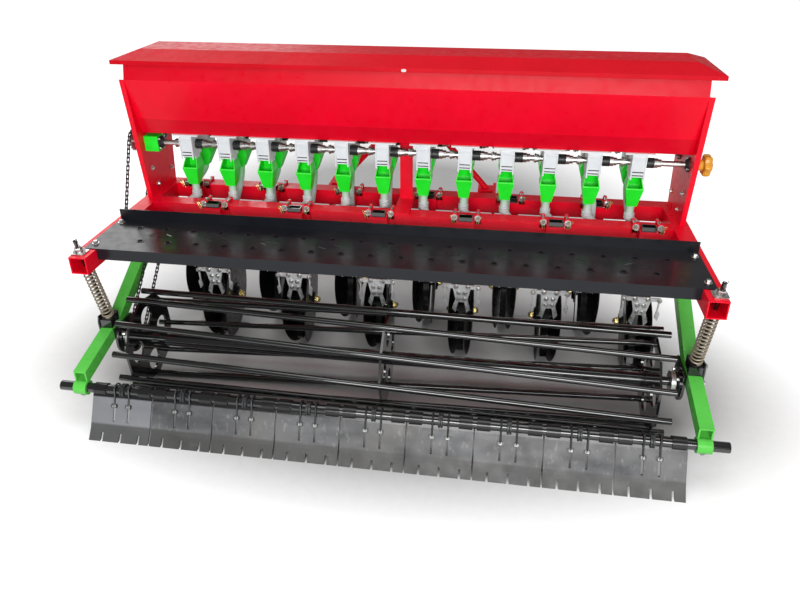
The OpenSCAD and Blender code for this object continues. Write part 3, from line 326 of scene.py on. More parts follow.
class Shape:
    """Points and faces that are gathered for one piece."""

    def __init__(self):
        self.points, self.faces = [], []

    def skin(self, rings, closed=False):
        """Joins equal rings in a row, with flat ends unless the row closes on itself."""
        start, sides, count = len(self.points), len(rings[0]), len(rings)
        self.points += [point for ring in rings for point in ring]
        for i in range(count if closed else count - 1):
            here, there = start + i * sides, start + (i + 1) % count * sides
            for k in range(sides):
                after = (k + 1) % sides
                self.faces.append((here + k, here + after, there + after, there + k))
        if not closed:
            self.faces.append(tuple(reversed(range(start, start + sides))))
            self.faces.append(tuple(range(start + (count - 1) * sides, start + count * sides)))

    def lathe(self, at, along, profile, sides=20, turn=0.0):
        """Turns a profile of (radius, distance) about an axis."""
        u, v = across(along)
        w = along.normalized()
        rim = [turned(turn + 360 * k / sides, u, v) for k in range(sides)]
        self.skin([[at + w * distance + way * radius for way in rim] for radius, distance in profile])

    def prism(self, at, u, v, outline, depth):
        """Pushes an outline drawn along u and v out of its plane."""
        w = u.cross(v) * depth
        flat = [at + u * x + v * y for x, y in outline]
        self.skin([flat, [point + w for point in flat]])

    def tube(self, path, radius, sides=10, closed=False):
        """Sweeps a circle along a path, with one radius or one for each point."""
        count = len(path)
        radii = radius if isinstance(radius, list) else [radius] * count
        u, rings = None, []
        for i, point in enumerate(path):
            before = path[i - 1] if i or closed else point
            after = path[(i + 1) % count] if i < count - 1 or closed else point
            way = (after - before).normalized()
            u = across(way)[0] if u is None else (u - way * u.dot(way)).normalized()
            v = way.cross(u)
            rings.append([point + turned(360 * k / sides, u, v) * radii[i] for k in range(sides)])
        self.skin(rings, closed)

    def piece(self, name, body, slot, material=None, bevel=0.0, replaced=()):
        """The finished piece, which moves with a body and takes a given material, or else its slot's finish."""
        mesh = bpy.data.meshes.new(name)
        places = [(p.x * MM, p.y * MM + FRAME_MIDDLE, p.z * MM) for p in self.points]
        mesh.from_pydata(places, [], self.faces)
        mesh.polygons.foreach_set("use_smooth", [True] * len(mesh.polygons))
        mesh.set_sharp_from_angle(angle=SMOOTH_ANGLE)
        mesh.materials.append(material or MATERIALS[slot])
        made = bpy.data.objects.new(name, mesh)
        bpy.context.scene.collection.objects.link(made)
        if bevel:
            soften(made, bevel)
        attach(made, body)
        if replaced:
            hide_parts(*replaced)


def soften(thing, width):
    """Rounds the sharp edges of a piece, by a width in millimetres."""
    edge = thing.modifiers.new("edges", "BEVEL")
    edge.width = width * MM
    edge.segments = 2
    edge.limit_method = "ANGLE"
    edge.angle_limit = BEVEL_ANGLE


def rounded(width, height, radius, steps=3):
    """A rectangle about the origin with rounded corners."""
    corners = ((1, 1, 0), (-1, 1, 90), (-1, -1, 180), (1, -1, 270))
    return [(sx * (width / 2 - radius) + radius * math.cos(math.radians(a + 90 * k / steps)),
             sy * (height / 2 - radius) + radius * math.sin(math.radians(a + 90 * k / steps)))
            for sx, sy, a in corners for k in range(steps + 1)]


def washer(shape, at, along, radius, thick=WASHER_T):
    inward, up = WASHER_CHAMFER
    shape.lathe(at, along, [(radius - inward, 0), (radius, up), (radius, thick - up), (radius - inward, thick)],
                sides=18)


def bolt(shape, at, along, size, turn=0.0):
    """A hexagon head of a size across its flats, on its washer."""
    w = along.normalized()
    corner = CORNER_R * size
    washer(shape, at, w, WASHER_R * size)
    head = [(corner, 0), (corner, 0.5 * size), (0.86 * corner, 0.62 * size)]
    shape.lathe(at + w * WASHER_T, w, head, sides=6, turn=turn)


def nut(shape, at, along, size, thread, turn=0.0):
    """A hexagon nut on its washer, with the thread that comes out of it."""
    w = along.normalized()
    corner, height = CORNER_R * size, 0.7 * size
    washer(shape, at, w, WASHER_R * size)
    body = [(0.88 * corner, 0), (corner, 0.08 * size), (corner, 0.6 * size), (0.88 * corner, height)]
    shape.lathe(at + w * WASHER_T, w, body, sides=6, turn=turn)
    ridges = [(0.30 * size + 0.4 * (k % 2), height + WASHER_T + k * THREAD_PITCH / 2)
              for k in range(int(2 * thread / THREAD_PITCH))]
    shape.lathe(at, w, ridges, sides=12)


def spring_clip(shape, at, u, v):
    """A wire clip through the end of a bolt: a straight leg, a loop and a waved leg."""
    bends = [(0, -13), (0, 8), (1, 14), (5, 18), (10, 16), (11, 11), (8, 7), (7, 2), (9, -3), (7, -8), (8, -12)]
    shape.tube([at + u * x + v * y for x, y in bends], radius=1.2, sides=6)


# Places that the fittings share, in millimetres, as they are in the part's source

ROWS = range(12)
MIDDLE_ROW = (len(ROWS) - 1) / 2
ROW_PITCH, OPENER_PITCH = 150, 160
HALF_W, TUBE, FRAME_TOP, BEAM_Y, WALL = 1000, 60, 580, 105, 4
HOPPER_Y, SEED_Y, FERT_Y, SHAFT_Z, METER_Z = 15, -55, 85, 796, 753
SEED_FUNNEL_H, FERT_FUNNEL_H = 116, 76
DISC_R, DISC_X, TOE, CAMBER, HUB_H = 175, 26.02, 6, 3, 16
ARM_X, ROLLER_Y, ROLLER_Z, COVER_Y, COVER_Z = 1010, -478, 182, -739, 143
SHAFTS = (("seed_shaft", SEED_Y), ("fertiliser_shaft", FERT_Y))


def row_x(i):
    return (i - MIDDLE_ROW) * ROW_PITCH


def opener_x(i):
    return (i - MIDDLE_ROW) * OPENER_PITCH


def beam_y(i):
    return -BEAM_Y if i % 2 else BEAM_Y


def clamp_fittings():
    """Ears behind and before the beam at each shank clamp, with two long bolts over it and their clips."""
    bolts, clips, ears = Shape(), Shape(), Shape()
    bolt_z, apart, ear_t, front_y, front_t = FRAME_TOP + 8, 42.5, 8, 26, 6
    ear = [(-13, -24), (13, -24), (13, 6), (8, 13), (-8, 13), (-13, 6)]
    front_ear = [(0.62 * a, 0.5 * max(b, -16)) for a, b in ear]
    for i in ROWS:
        for side in SIDES:
            x, y = opener_x(i) + side * apart, beam_y(i)
            back = Vector((x, y - TUBE / 2 - ear_t, bolt_z))
            front = Vector((x, y + front_y, bolt_z))
            ears.prism(back + Y * ear_t, X, Z, ear, ear_t)
            ears.prism(front, X, Z, front_ear, front_t)
            bolts.lathe(back, Y, [(5, 0), (5, front.y - back.y)], sides=14)
            nut(bolts, back, -Y, size=13, thread=12, turn=10 * i)
            bolts.lathe(front, Y, [(6, 0), (6, 8)], sides=6)
            spring_clip(clips, back - Y * 25, side * X, turned(20 * side, Z, X))
    ears.piece("clamp_ears", "frame", "red_paint", bevel=1.2)
    bolts.piece("clamp_bolts", "frame", "zinc")
    clips.piece("clamp_clips", "frame", "zinc", YELLOW_ZINC)


def shaft_fittings():
    """Ribbed sleeves, bolted flanges and set screws on the metering shafts."""
    ribs = [(13.0, 25.6)]
    for k in range(5):
        start = 25.8 + 6 * k
        ribs += [(17.3, start), (18.5, start + 0.8), (18.5, start + 4.4), (17.3, start + 5.2)]
    ribs.append((13.0, 55.8))
    set_screw = [(3.6, 0), (3.6, 3), (2.8, 4)]
    flange = [(12.4, 0), (17, 0.8), (17, 5.2), (12.4, 6)]
    flange_bolt = [(2.4, -3), (3.2, -2.4), (3.2, 8.4), (2.4, 9)]
    bolt_r = 13.4
    for body, y in SHAFTS:
        sleeves, screws = Shape(), Shape()
        for i in ROWS:
            middle = Vector((row_x(i), y, SHAFT_Z))
            sleeves.lathe(middle, X, ribs, sides=24)
            for k, place in enumerate((73.5, -45.0)):
                for angle in (35, 155):
                    way = turned(angle + 20 * k, -Y, Z)
                    screws.lathe(middle + X * place + way * bolt_r, way, set_screw, sides=6)
            for place in (57.5, -54.5):
                screws.lathe(middle + X * place, X, flange, sides=24)
                for k in range(4):
                    rim = middle + X * place + turned(20 + 90 * k, Y, Z) * bolt_r
                    screws.lathe(rim, X, flange_bolt, sides=6)
        sleeves.piece(body + "_sleeves", body, "black_paint", BLACK_RUBBER)
        screws.piece(body + "_screws", body, "zinc")


def meter_fronts():
    """Rails along the sides and top of each meter's face, and painted shade: dark pieces in a seed meter's slots.
    """
    rails, slot_shades = Shape(), Shape()
    face_out, rail_x, rail_z, rail_t, top_z, top_t, slot_shade_in, slot_shade_t = 36, 22.2, 34, 4, 68, 3, 3, 2.4
    for y, facing in ((SEED_Y, -1), (FERT_Y, 1)):
        face = y + facing * face_out
        for i in ROWS:
            for side in SIDES:
                rail_y = face + (0 if facing < 0 else rail_t)
                at = Vector((row_x(i) + side * rail_x, rail_y, METER_Z + rail_z))
                rails.prism(at, X, Z, rounded(5, 88, 2), rail_t)
            top_y = face + (0 if facing < 0 else top_t)
            rails.prism(Vector((row_x(i), top_y, METER_Z + top_z)), X, Z, rounded(40, 6, 2), top_t)
            # Painted shade: dark pieces inside the slots
            if facing < 0:
                for up in (6, 18):
                    at = Vector((row_x(i), face + slot_shade_in, METER_Z + up))
                    slot_shades.prism(at, X, Z, rounded(37, 4.4, 1), slot_shade_t)
    rails.piece("meter_rails", "frame", "white_plastic", bevel=0.6)
    slot_shades.piece("meter_slot_shades", "frame", "black_paint", BLACK_RUBBER)


def handwheel():
    """A lobed wheel with a crowned rim, on a long boss and a flange."""
    made = Shape()
    steps, lobes = 72, 6
    start = Vector((HALF_W, SEED_Y, SHAFT_Z))

    def lobed(radius, out, x):
        return [start + X * x
                + turned(360 * k / steps, Y, Z) * (radius + out * math.cos(lobes * math.tau * k / steps))
                for k in range(steps)]

    made.lathe(start, X, [(33, 0), (33, 5), (24, 8), (20, 12), (19, 40), (24, 44)], sides=28)
    made.skin([lobed(26, 1, 42), lobed(33, 3, 43), lobed(35.5, 4, 48), lobed(35.5, 4, 62),
               lobed(33, 3, 67), lobed(24, 1, 69), lobed(18, 0.5, 66), lobed(14, 0, 66)])
    made.piece("lobed_wheel", "frame", "yellow_plastic", replaced=("handwheel",))


def funnel_lips():
    """The thickened rim round the open side of each funnel, in a lighter green that is a painted highlight."""
    for name, y, facing, height in (("seed", SEED_Y, -1, SEED_FUNNEL_H),
                                    ("fertiliser", FERT_Y, 1, FERT_FUNNEL_H)):
        lips = Shape()
        lip = 0.41 * height
        edge = [(21.2, down, 34 * (down + 5) / (lip + 5) - 1) for down in (1, 12)]
        edge.append((29.2, lip - 0.8, 32.8))
        edge += [(-x, down, out) for x, down, out in reversed(edge)]
        for i in ROWS:
            path = [Vector((row_x(i) + x, y + facing * out, METER_Z - down)) for x, down, out in edge]
            lips.tube(path, radius=1.9, sides=8)
        lips.piece(name + "_funnel_lips", "frame", "green_plastic", RIM_HIGHLIGHT_GREEN)


def eased(start, end, steps=12):
    """A path from one point to another that leaves and arrives upright."""
    path = []
    for k in range(steps + 1):
        down = k / steps
        out = down ** 2 * (3 - 2 * down)
        path.append(Vector((start.x + (end.x - start.x) * out, start.y + (end.y - start.y) * out,
                            start.z + (end.z - start.z) * down)))
    return path


def tubes():
    """Smooth translucent tubes from the funnels down into the openers, with ribbed collars on the seed tubes."""
    made = Shape()
    socket_x, socket_z, knee_z, hose_r, hose_sides = 18, 405, 530, 15, 18
    # Distances below the funnel and radii
    stub = [(0, 14.2), (2, 14.4), (31, 14.4), (31.5, 18.4), (36, 18.8), (36.5, 15.2), (40, 15.2), (40.5, 18.8),
            (45, 18.8), (45.5, 15.2), (49, 15.2), (49.5, 18.6), (52.5, 18.4), (53, hose_r)]
    for i in ROWS:
        outward = math.copysign(1, opener_x(i))
        end_y = beam_y(i) + (5 if i % 2 else -88)
        seed_end = Vector((opener_x(i) + outward * socket_x, end_y, socket_z))
        fert_end = Vector((opener_x(i) - outward * socket_x, end_y, socket_z))
        top = Vector((row_x(i), SEED_Y, METER_Z - SEED_FUNNEL_H))
        knee = eased(Vector((seed_end.x, SEED_Y, knee_z)), seed_end)
        path = [top - Z * down for down, _ in stub] + knee
        made.tube(path, [r for _, r in stub] + [hose_r] * len(knee), hose_sides)
        fert_top = Vector((row_x(i), FERT_Y - 30, METER_Z - FERT_FUNNEL_H))
        step = Vector((fert_end.x, fert_end.y, FRAME_TOP + 17))
        path = eased(fert_top, fert_end) if i % 2 else eased(fert_top, step) + [fert_end]
        made.tube(path, hose_r, hose_sides)
    made.piece("seed_hoses", "frame", "clear_tube", replaced=("seed_tubes",))


def hub_nuts():
    """Domed nuts on the ends of the disc axles."""
    nuts = Shape()
    toe, camber = math.radians(TOE), math.radians(CAMBER)
    washer_r, washer_t = 19, 2.5
    dome = [(14, 0), (14, 8), (11, 10), (10, 14), (7, 17.5), (0.5, 19)]
    for i in ROWS:
        for side in SIDES:
            out = Vector((side * math.cos(toe) * math.cos(camber), math.sin(toe) * math.cos(camber),
                          -math.sin(camber)))
            end = Vector((opener_x(i) + side * DISC_X, beam_y(i), DISC_R)) + out * (HUB_H + 0.6)
            washer(nuts, end, out, washer_r, washer_t)
            nuts.lathe(end + out * washer_t, out, dome, sides=6)
    nuts.piece("hub_nuts", "frame", "zinc", YELLOW_ZINC)


def scraper_fittings():
    """Bolts of the scrapers: on the cross bar, at its ends and on the plate."""
    bolts = Shape()
    width, bar_z, face_y, washer_r, washer_t = 130, 347, -124, 8.5, 3
    # Places of bolts, as parts of the width out from the middle and up, and their sizes
    heads = ((0.17, 0, 11), (0.09, -0.2, 10), (0.085, -0.4, 10))
    for i in ROWS:
        at = Vector((opener_x(i), beam_y(i) + face_y, bar_z))
        for side in SIDES:
            for out, up, size in heads:
                bolt(bolts, at + X * side * out * width + Z * up * width, -Y, size, turn=13 * i)
            end = at + X * side * 0.47 * width - Z
            washer(bolts, end, -Y, washer_r, washer_t)
            nut(bolts, end - Y * washer_t, -Y, size=10, thread=4, turn=17 * i)
            rivet = at + X * side * 0.21 * width - Z * 0.6 * width
            bolts.lathe(rivet, -Y, [(4.5, 0), (4.5, 2), (3, 3.4)], sides=10)
    bolts.piece("scraper_bolts", "frame", "zinc")


PLATES = 9
PLATE_PITCH = (2 * (HALF_W - 36) + 5) / PLATES
PLATE_FALL = Vector((0, -58.8, -108.7)).normalized()
PLATE_FACE = Vector((0, -0.879, 0.476))


def cover_fittings():
    """On each covering plate: two hoops round the bar with rods down to their nuts, and a clamp between them."""
    hoops, nuts = Shape(), Shape()
    hoop_x, hoop_r, wire_r, seat_t, clamp_r = 25, 22, 3.0, 2.5, 23
    clamp = [(18, 0), (24, 1), (24, 7), (18, 8)]
    way = turned(60, -Y, Z)
    for i in range(PLATES):
        middle = Vector(((i - (PLATES - 1) / 2) * PLATE_PITCH, COVER_Y, COVER_Z))
        for side in SIDES:
            at = middle + X * side * hoop_x
            loop = [at + turned(a, Y, Z) * hoop_r for a in range(-100, 150, 16)]
            face = at - Y * 11.8 + PLATE_FACE * wire_r
            hoops.tube(loop + [face + PLATE_FALL * 14, face + PLATE_FALL * 52], wire_r, sides=8)
            seat = face + PLATE_FALL * 46 - PLATE_FACE * wire_r
            hoops.prism(seat, X, -PLATE_FALL, rounded(22, 13, 3), seat_t)
            nut(nuts, seat + PLATE_FACE * seat_t, PLATE_FACE, size=7, thread=5, turn=20 * i)
        for x in (-8, 0):
            hoops.lathe(middle + X * x, X, clamp, sides=24)
        bolt(hoops, middle + way * clamp_r, way, size=7, turn=9 * i)
    hoops.piece("cover_hoops", "cover_plates", "black_paint", BLACK_RUBBER)
    nuts.piece("cover_nuts", "cover_plates", "zinc", DULL_ZINC)


SPRING_FOOT = Vector((0, -514, 292))
SPRING_LEAN = math.radians(14.51)
SPRING_WAY = Vector((0, -math.sin(SPRING_LEAN), math.cos(SPRING_LEAN)))
SPRING_H, SPRING_COILS, SPRING_STEPS, SPRING_R = 222.0, 15, 22, 18.2


def spring_path(foot):
    """The middle line of a pressure spring's wire, with flat coils at both ends."""
    u, v = across(SPRING_WAY)
    path = []
    for k in range(SPRING_COILS * SPRING_STEPS + 1):
        turn = k / SPRING_STEPS
        risen = turn - (0.5 if turn > 1 else 0.5 * turn * turn)
        rise = min(4 + SPRING_H * risen / (SPRING_COILS - 1), SPRING_H + 3)
        wider = 0.3 * min(1.0, turn, SPRING_COILS - turn)
        path.append(foot + SPRING_WAY * rise + turned(360 * turn, u, v) * (SPRING_R + wider))
    return path


def arm_fittings():
    """Springs, ends of the spring rods, brackets on the arms, bearing flanges and collars round the cover bar."""
    coil, zinc, black, green = Shape(), Shape(), Shape(), Shape()
    rod_top, flank_z, shelf_z, wall, flange_bolt_r = 298, 248, 204, 5, 42
    cheek = [(-30, -42), (24, -36), (30, 10), (20, 46), (-24, 52), (-32, 30)]
    for side in SIDES:
        outward = side * X
        foot = SPRING_FOOT + outward * ARM_X
        coil.tube(spring_path(foot), radius=3.1, sides=8)
        washer(black, foot + SPRING_WAY * 0.4, SPRING_WAY, radius=24, thick=3)
        # The rod's end above the rail: plate, nut and clip
        top = foot + SPRING_WAY * rod_top
        zinc.prism(Vector((top.x - side, top.y, FRAME_TOP)), X, Y, rounded(46, 44, 6), depth=4)
        nut(zinc, top + SPRING_WAY * 6, SPRING_WAY, size=22, thread=16)
        spring_clip(zinc, top + SPRING_WAY * 38, X, Z)
        # Bracket round the arm below the spring
        flank = Vector((foot.x + side * 22.3, foot.y, flank_z))
        black.prism(flank, side * Y, Z, [(side * y, z) for y, z in cheek][::side], wall)
        for y, z in ((-16, -26), (14, -22), (-4, 32)):
            bolt(zinc, flank + outward * wall + Y * y + Z * z, outward, size=14, turn=11 * z)
        shelf = Vector((foot.x - 24, foot.y - 22, shelf_z))
        black.prism(shelf, X, Y, [(0, 0), (48, 0), (48, 42), (0, 42)], wall)
        # Bolts across the arm's pivot and the bearing's flange
        for z in (456, 490):
            bolt(zinc, Vector((side * (ARM_X + 30), -80, z)), outward, size=15)
        hub = Vector((side * (ARM_X - 30), ROLLER_Y, ROLLER_Z))
        black.lathe(hub, -outward, [(48, 0), (48, 5), (40, 8), (38, 12)], sides=28)
        for k in range(4):
            rim = hub - outward * 6 + turned(45 + 90 * k, Y, Z) * flange_bolt_r
            bolt(zinc, rim, -outward, size=10, turn=5 * k)
        # Collar round the cover bar, with the bolt below it
        collar = Vector((side * ARM_X - 12, COVER_Y, COVER_Z))
        green.lathe(collar, X, [(20, 0), (25, 1), (25, 23), (20, 24)], sides=28)
        bolt(zinc, Vector((side * ARM_X, COVER_Y - 4, COVER_Z - 24)), -Z, size=11)
    coil.piece("coil_springs", "frame", "spring_steel", replaced=("pressure_springs",))
    zinc.piece("arm_bolts", "frame", "zinc")
    black.piece("spring_brackets", "frame", "black_paint", bevel=1.0)
    green.piece("bar_clamps", "frame", "green_paint")


def panel_fittings():
    """Rounded folds of the hopper, bolts of the side plates, the footboard and the beams, the lid's latch."""
    folds, zinc, latch = Shape(), Shape(), Shape()
    half, fold_r, fold_sides = HALF_W - 7.2, 1.55, 8
    fold_places = ((163.5, 1052), (113.5, 898), (92.5, 840.5), (46, 840.5))
    divider_z, board_bolt_z, beam_bolt_z, latch_x, latch_z, latch_t = 888.5, 583, 550, 12, 1110, 2

    def fold(y, z):
        folds.tube([Vector((x, y, z)) for x in (-half, half)], fold_r, fold_sides)

    for side in SIDES:
        for y, z in fold_places:
            fold(HOPPER_Y + side * y, z)
        inner = Vector((side * (HALF_W - WALL), 0, 0))
        for y, z in ((-58, 690), (-30, 616), (96, 640)):
            bolt(zinc, inner + Y * y + Z * z, -side * X, size=11, turn=z)
        for y in (-345, -520):
            bolt(zinc, Vector((side * (HALF_W - 8), y, board_bolt_z)), Z, size=14, turn=y)
        for y in (-BEAM_Y, BEAM_Y):
            bolt(zinc, Vector((side * (HALF_W + TUBE / 2), y, beam_bolt_z)), side * X, size=16, turn=y)
    fold(HOPPER_Y, divider_z)
    # The folds take the hopper's red with its painted shade
    folds.piece("hopper_folds", "frame", "red_paint", HOPPER_RED_PAINTED_SHADE)
    zinc.piece("panel_bolts", "frame", "zinc")
    plate = Vector((latch_x, HOPPER_Y - 157, latch_z))
    latch.prism(plate, X, Z, rounded(16, 9, 3), latch_t)
    bolt(latch, plate - Y * latch_t, -Y, size=6)
    latch.piece("lid_latch", "lid", "zinc")


def board_collars():
    """The pressed rim and collar of each round hole in the footboard."""
    collars = Shape()
    hole_pitch, board_y, board_d, sides = 100, -307, 252, 20
    profile = [(7.7, -11), (9, -11), (9, 3), (13.5, 3), (12.6, 4.4), (9.8, 5), (7.7, 4)]
    for row, share in enumerate((0.3, 0.7)):
        for i in range(-9, 10):
            at = Vector(((i + row / 2) * hole_pitch, board_y - board_d * share, FRAME_TOP))
            if abs(at.x) < HALF_W - TUBE:
                collars.skin([[at + turned(360 * k / sides, X, Y) * radius + Z * up for radius, up in profile]
                              for k in range(sides)], closed=True)
    collars.piece("board_collars", "frame", "black_paint", STEP_BLACK)


def drive_fittings():
    """Bearings and bolts at the ends of the shafts."""
    black, zinc = Shape(), Shape()
    box_w, box_bolt_r, plate_bolt_r = 54, 25, 22
    at = Vector((-HALF_W + WALL + box_w, SEED_Y, SHAFT_Z))
    black.lathe(at, X, [(25, 0), (25, 5), (20, 8), (16, 14), (12, 15)], sides=24)
    for k in range(4):
        bolt(zinc, at + turned(45 + 90 * k, Y, Z) * box_bolt_r, X, size=7, turn=9 * k)
    for y, side in ((SEED_Y, 1), (FERT_Y, -1), (FERT_Y, 1)):
        plate, inward = Vector((side * (HALF_W - WALL), y, SHAFT_Z)), -side * X
        black.lathe(plate, inward, [(27, 0), (27, 4), (20, 8), (15, 12), (11, 13)], sides=24)
        for k in range(3):
            rim = plate + turned(90 + 120 * k, Y, Z) * plate_bolt_r + inward * 3
            bolt(zinc, rim, inward, size=7, turn=5 * k)
    bolt(zinc, Vector((HALF_W + 66, SEED_Y, SHAFT_Z)), X, size=13)
    black.piece("shaft_bearings", "frame", "black_paint", BLACK_RUBBER)
    zinc.piece("drive_bolts", "frame", "zinc")


def chain_run(wheels):
    """The closed middle line of a chain round wheels of (y, z, radius): a function of the distance along it,
    and its length."""
    def facing(a, b):
        return math.atan2(b[1] - a[1], b[0] - a[0]) - math.acos((a[2] - b[2]) / math.dist(a[:2], b[:2]))

    def rim(wheel, angle):
        return wheel[0] + wheel[2] * math.cos(angle), wheel[1] + wheel[2] * math.sin(angle)

    stretches, count = [], len(wheels)
    for i, here in enumerate(wheels):
        after, later = wheels[(i + 1) % count], wheels[(i + 2) % count]
        angle = facing(here, after)
        bend = (facing(after, later) - angle) % (2 * math.pi)
        stretches.append((here, angle, math.dist(rim(after, angle), rim(here, angle)), False))
        stretches.append((after, angle, after[2] * bend, True))

    def place(along):
        for wheel, angle, length, is_arc in stretches:
            if along <= length:
                break
            along -= length
        if is_arc:
            return Vector((0, *rim(wheel, angle + along / wheel[2])))
        y, z = rim(wheel, angle)
        return Vector((0, y - along * math.sin(angle), z + along * math.cos(angle)))

    return place, sum(stretch[2] for stretch in stretches)


CHAIN_PITCH, LINK_T, LINK_HALF_H = 15.875, 1.2, 4.3
# One long edge of a link's plate, in parts of its length and of half its height
LINK_EDGE = ((-0.22, -0.5), (0.0, -1), (0.2, -0.95), (0.5, -0.66), (0.8, -0.95), (1.0, -1), (1.22, -0.5))


def link_plate(shape, start, end, x):
    """One waisted plate between two pins of a chain."""
    u = (end - start).normalized()
    length = (end - start).length
    edge = [(length * a, LINK_HALF_H * b) for a, b in LINK_EDGE]
    shape.prism(start + X * x, u, X.cross(u), edge + [(a, -b) for a, b in reversed(edge)], LINK_T)


def chains():
    """Roller chains of inner and outer links with their pins."""
    def wheel(y, z, teeth):
        return y, z, CHAIN_PITCH / 2 / math.sin(math.pi / teeth)

    counter_y, counter_z = -180, 480
    upper = [wheel(counter_y, counter_z, 24), wheel(FERT_Y, SHAFT_Z, 17), wheel(SEED_Y, SHAFT_Z, 17)]
    lower = [wheel(counter_y, counter_z, 20), wheel(ROLLER_Y, ROLLER_Z, 20)]
    inner_x, outer_x = 2.6, 3.9
    roller = [(1.9, -5), (1.9, -2.7), (3.4, -2.6), (3.4, 2.6), (1.9, 2.7), (1.9, 5)]
    for name, x, wheels in (("upper_chain", -1050, upper), ("lower_chain", -945, lower)):
        made = Shape()
        place, total = chain_run(wheels)
        links = 2 * round(total / CHAIN_PITCH / 2)
        pins = [place(total * k / links) for k in range(links)]
        for k, pin in enumerate(pins):
            inside = inner_x if k % 2 else outer_x
            for plate_x in (x - inside - LINK_T, x + inside):
                link_plate(made, pin, pins[(k + 1) % links], plate_x)
            made.lathe(pin + X * x, X, roller, sides=8)
        made.piece(name + "_links", "frame", "chain_steel", replaced=(name,))


# Edges of the solids, rounded by a width in millimetres
EDGE_WIDTHS = {
    "side_rails": 2.0, "cross_beams": 2.0, "footboard": 1.3, "lid": 1.3, "side_plates": 1.2,
    "roller_arms": 2.0, "bearing_plates": 1.0, "shank_clamps": 1.2, "seed_meters": 1.0,
    "fertiliser_meters": 1.0, "drive_box": 2.0, "scrapers": 0.7, "hitch_frame": 1.2, "cover_plates": 0.7,
    "pivot_brackets": 1.2, "hopper_post": 1.2,
}
for name, width in EDGE_WIDTHS.items():
    soften(nodes[name], width)

for make in (clamp_fittings, shaft_fittings, meter_fronts, handwheel, funnel_lips, tubes, hub_nuts,
             scraper_fittings, cover_fittings, arm_fittings, panel_fittings, board_collars,
             drive_fittings, chains):
    make()

# Floor, light and camera

FLOOR_HALF = 40.0
FLOOR_GLOW = 0.9
WORLD_LIGHT = 0.27
WHITE = (1, 1, 1, 1)
# Ovals on the floor without glow: middle and radii in metres, and the parts of the radii between which the
# glow sets in
UNDER_OVAL = ((0, 0), cad_box[1].xy, 1.0, 1.65)
SHADOW_OVAL = ((-0.25, 1.5), (1.6, 1.5), 0.55, 1.18)
# Lamps: place, target and size in metres, and power in watts
LAMPS = {
    "overhead": ((0.2, -0.6, 4.2), (0, 0, 0.4), (3.6, 2.4), 70),
    "behind_camera": ((0.6, -4.8, 1.9), (0, 0, 0.6), (3.4, 1.6), 222),
    "front_fill": ((-2.6, 3.2, 2.8), (0, 0, 0.6), (3.0, 2.0), 60),
}


def seen(tree):
    """1 for what the camera sees, also in a reflection or through glass, and 0 for the light on the object."""
    path = tree.nodes.new("ShaderNodeLightPath")
    value = path.outputs["Is Camera Ray"]
    for ray in ("Is Glossy Ray", "Is Transmission Ray"):
        either = tree.nodes.new("ShaderNodeMath")
        either.operation = "MAXIMUM"
        tree.links.new(value, either.inputs[0])
        tree.links.new(path.outputs[ray], either.inputs[1])
        value = either.outputs["Value"]
    return value


def from_middle(tree, place, middle, radii, start, end):
    """0 in an oval on the floor and 1 outside it, where start and end are parts of its radii."""
    oval = tree.nodes.new("ShaderNodeMapping")
    oval.vector_type = "TEXTURE"
    oval.inputs["Location"].default_value = (*middle, 0)
    oval.inputs["Scale"].default_value = (*radii, 1)
    tree.links.new(place, oval.inputs["Vector"])
    around = tree.nodes.new("ShaderNodeVectorMath")
    around.operation = "LENGTH"
    tree.links.new(oval.outputs["Vector"], around.inputs[0])
    return spread(tree, around.outputs["Value"], 0, 1, start, end)


def floor():
    """A pale floor that glows white for the camera, but not below the machine and in its shadow."""
    half = FLOOR_HALF
    mesh = bpy.data.meshes.new("floor")
    corners = [(-half, -half, 0), (half, -half, 0), (half, half, 0), (-half, half, 0)]
    mesh.from_pydata(corners, [], [(0, 1, 2, 3)])
    plane = bpy.data.objects.new("floor", mesh)
    bpy.context.scene.collection.objects.link(plane)
    material, tree, shader, place = new_material("pale_floor")
    speckle = spread(tree, noise(tree, place, scale=30.0, detail=6.0), 0, 1)
    base = mix_colours(tree, speckle, (0.53, 0.53, 0.53), (0.56, 0.56, 0.56))
    tree.links.new(base, shader.inputs["Base Color"])
    shader.inputs["Roughness"].default_value = 0.7
    shader.inputs["Emission Color"].default_value = WHITE
    lit = multiply(tree, from_middle(tree, place, *UNDER_OVAL), from_middle(tree, place, *SHADOW_OVAL))
    glow = multiply(tree, lit, FLOOR_GLOW)
    tree.links.new(multiply(tree, seen(tree), glow), shader.inputs["Emission Strength"])
    mesh.materials.append(material)


def area_light(name, place, target, size, power):
    lamp = bpy.data.lights.new(name, "AREA")
    lamp.shape = "RECTANGLE"
    lamp.size, lamp.size_y = size
    lamp.energy = power
    holder = bpy.data.objects.new(name, lamp)
    holder.location = place
    holder.rotation_euler = (Vector(target) - Vector(place)).to_track_quat("-Z", "Y").to_euler()
    bpy.context.scene.collection.objects.link(holder)


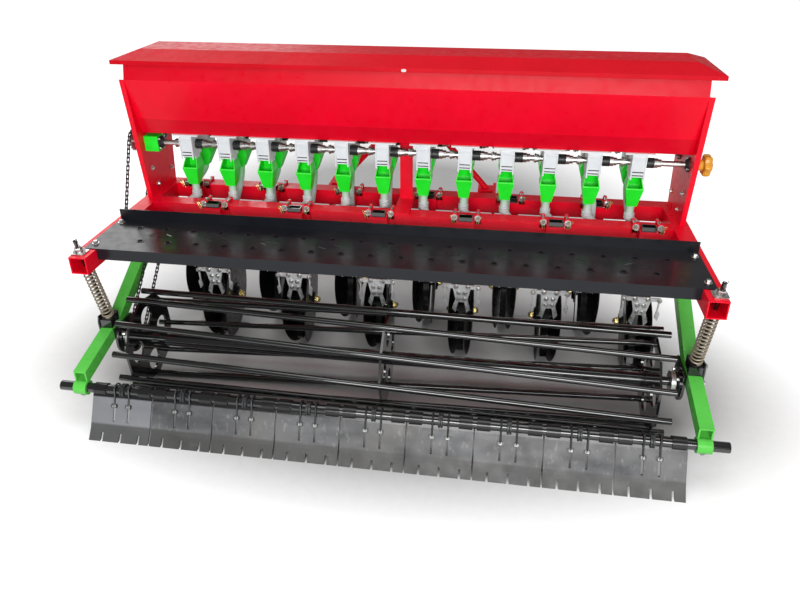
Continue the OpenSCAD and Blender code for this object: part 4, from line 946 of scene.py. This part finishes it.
def world_light():
    """Soft light from all sides, and a white backdrop for the camera."""
    world = bpy.data.worlds.new("studio")
    world.use_nodes = True
    tree = world.node_tree
    light = tree.nodes["Background"]
    light.inputs["Color"].default_value = WHITE
    light.inputs["Strength"].default_value = WORLD_LIGHT
    backdrop = tree.nodes.new("ShaderNodeBackground")
    backdrop.inputs["Color"].default_value = WHITE
    path = tree.nodes.new("ShaderNodeLightPath")
    choose = tree.nodes.new("ShaderNodeMixShader")
    tree.links.new(path.outputs["Is Camera Ray"], choose.inputs["Fac"])
    tree.links.new(light.outputs["Background"], choose.inputs[1])
    tree.links.new(backdrop.outputs["Background"], choose.inputs[2])
    tree.links.new(choose.outputs["Shader"], tree.nodes["World Output"].inputs["Surface"])
    bpy.context.scene.world = world


# The camera of the photograph, fitted to its pixels: place, turn to the left, tilt and roll, in metres
# and radians, with its focal length and the point that it looks at in pixels
CAMERA_PLACE = Vector((0.340, -2.181, 1.599))
CAMERA_YAW, CAMERA_PITCH, CAMERA_ROLL = 0.1508, -0.4723, -0.0054
FOCAL_PX = 690.3
CENTRE_PX = (397.7, 258.7)
IMAGE_PX = (800, 600)
SENSOR_MM = 36.0


def photo_camera():
    ahead = Vector((-math.sin(CAMERA_YAW) * math.cos(CAMERA_PITCH),
                    math.cos(CAMERA_YAW) * math.cos(CAMERA_PITCH), math.sin(CAMERA_PITCH)))
    level = Vector((math.cos(CAMERA_YAW), math.sin(CAMERA_YAW), 0))
    upright = level.cross(ahead)
    right = math.cos(CAMERA_ROLL) * level + math.sin(CAMERA_ROLL) * upright
    up = math.cos(CAMERA_ROLL) * upright - math.sin(CAMERA_ROLL) * level
    data = bpy.data.cameras.new("photo_camera")
    data.sensor_width = SENSOR_MM
    data.lens = FOCAL_PX / IMAGE_PX[0] * SENSOR_MM
    data.shift_x = (IMAGE_PX[0] / 2 - CENTRE_PX[0]) / IMAGE_PX[0]
    data.shift_y = (CENTRE_PX[1] - IMAGE_PX[1] / 2) / IMAGE_PX[0]
    camera = bpy.data.objects.new("photo_camera", data)
    turn = Matrix((right, up, -ahead)).transposed()
    camera.matrix_world = Matrix.Translation(CAMERA_PLACE) @ turn.to_4x4()
    bpy.context.scene.collection.objects.link(camera)
    bpy.context.scene.camera = camera


floor()
world_light()
for name, lamp in LAMPS.items():
    area_light(name, *lamp)
photo_camera()
bpy.context.scene.view_settings.view_transform = "Standard"
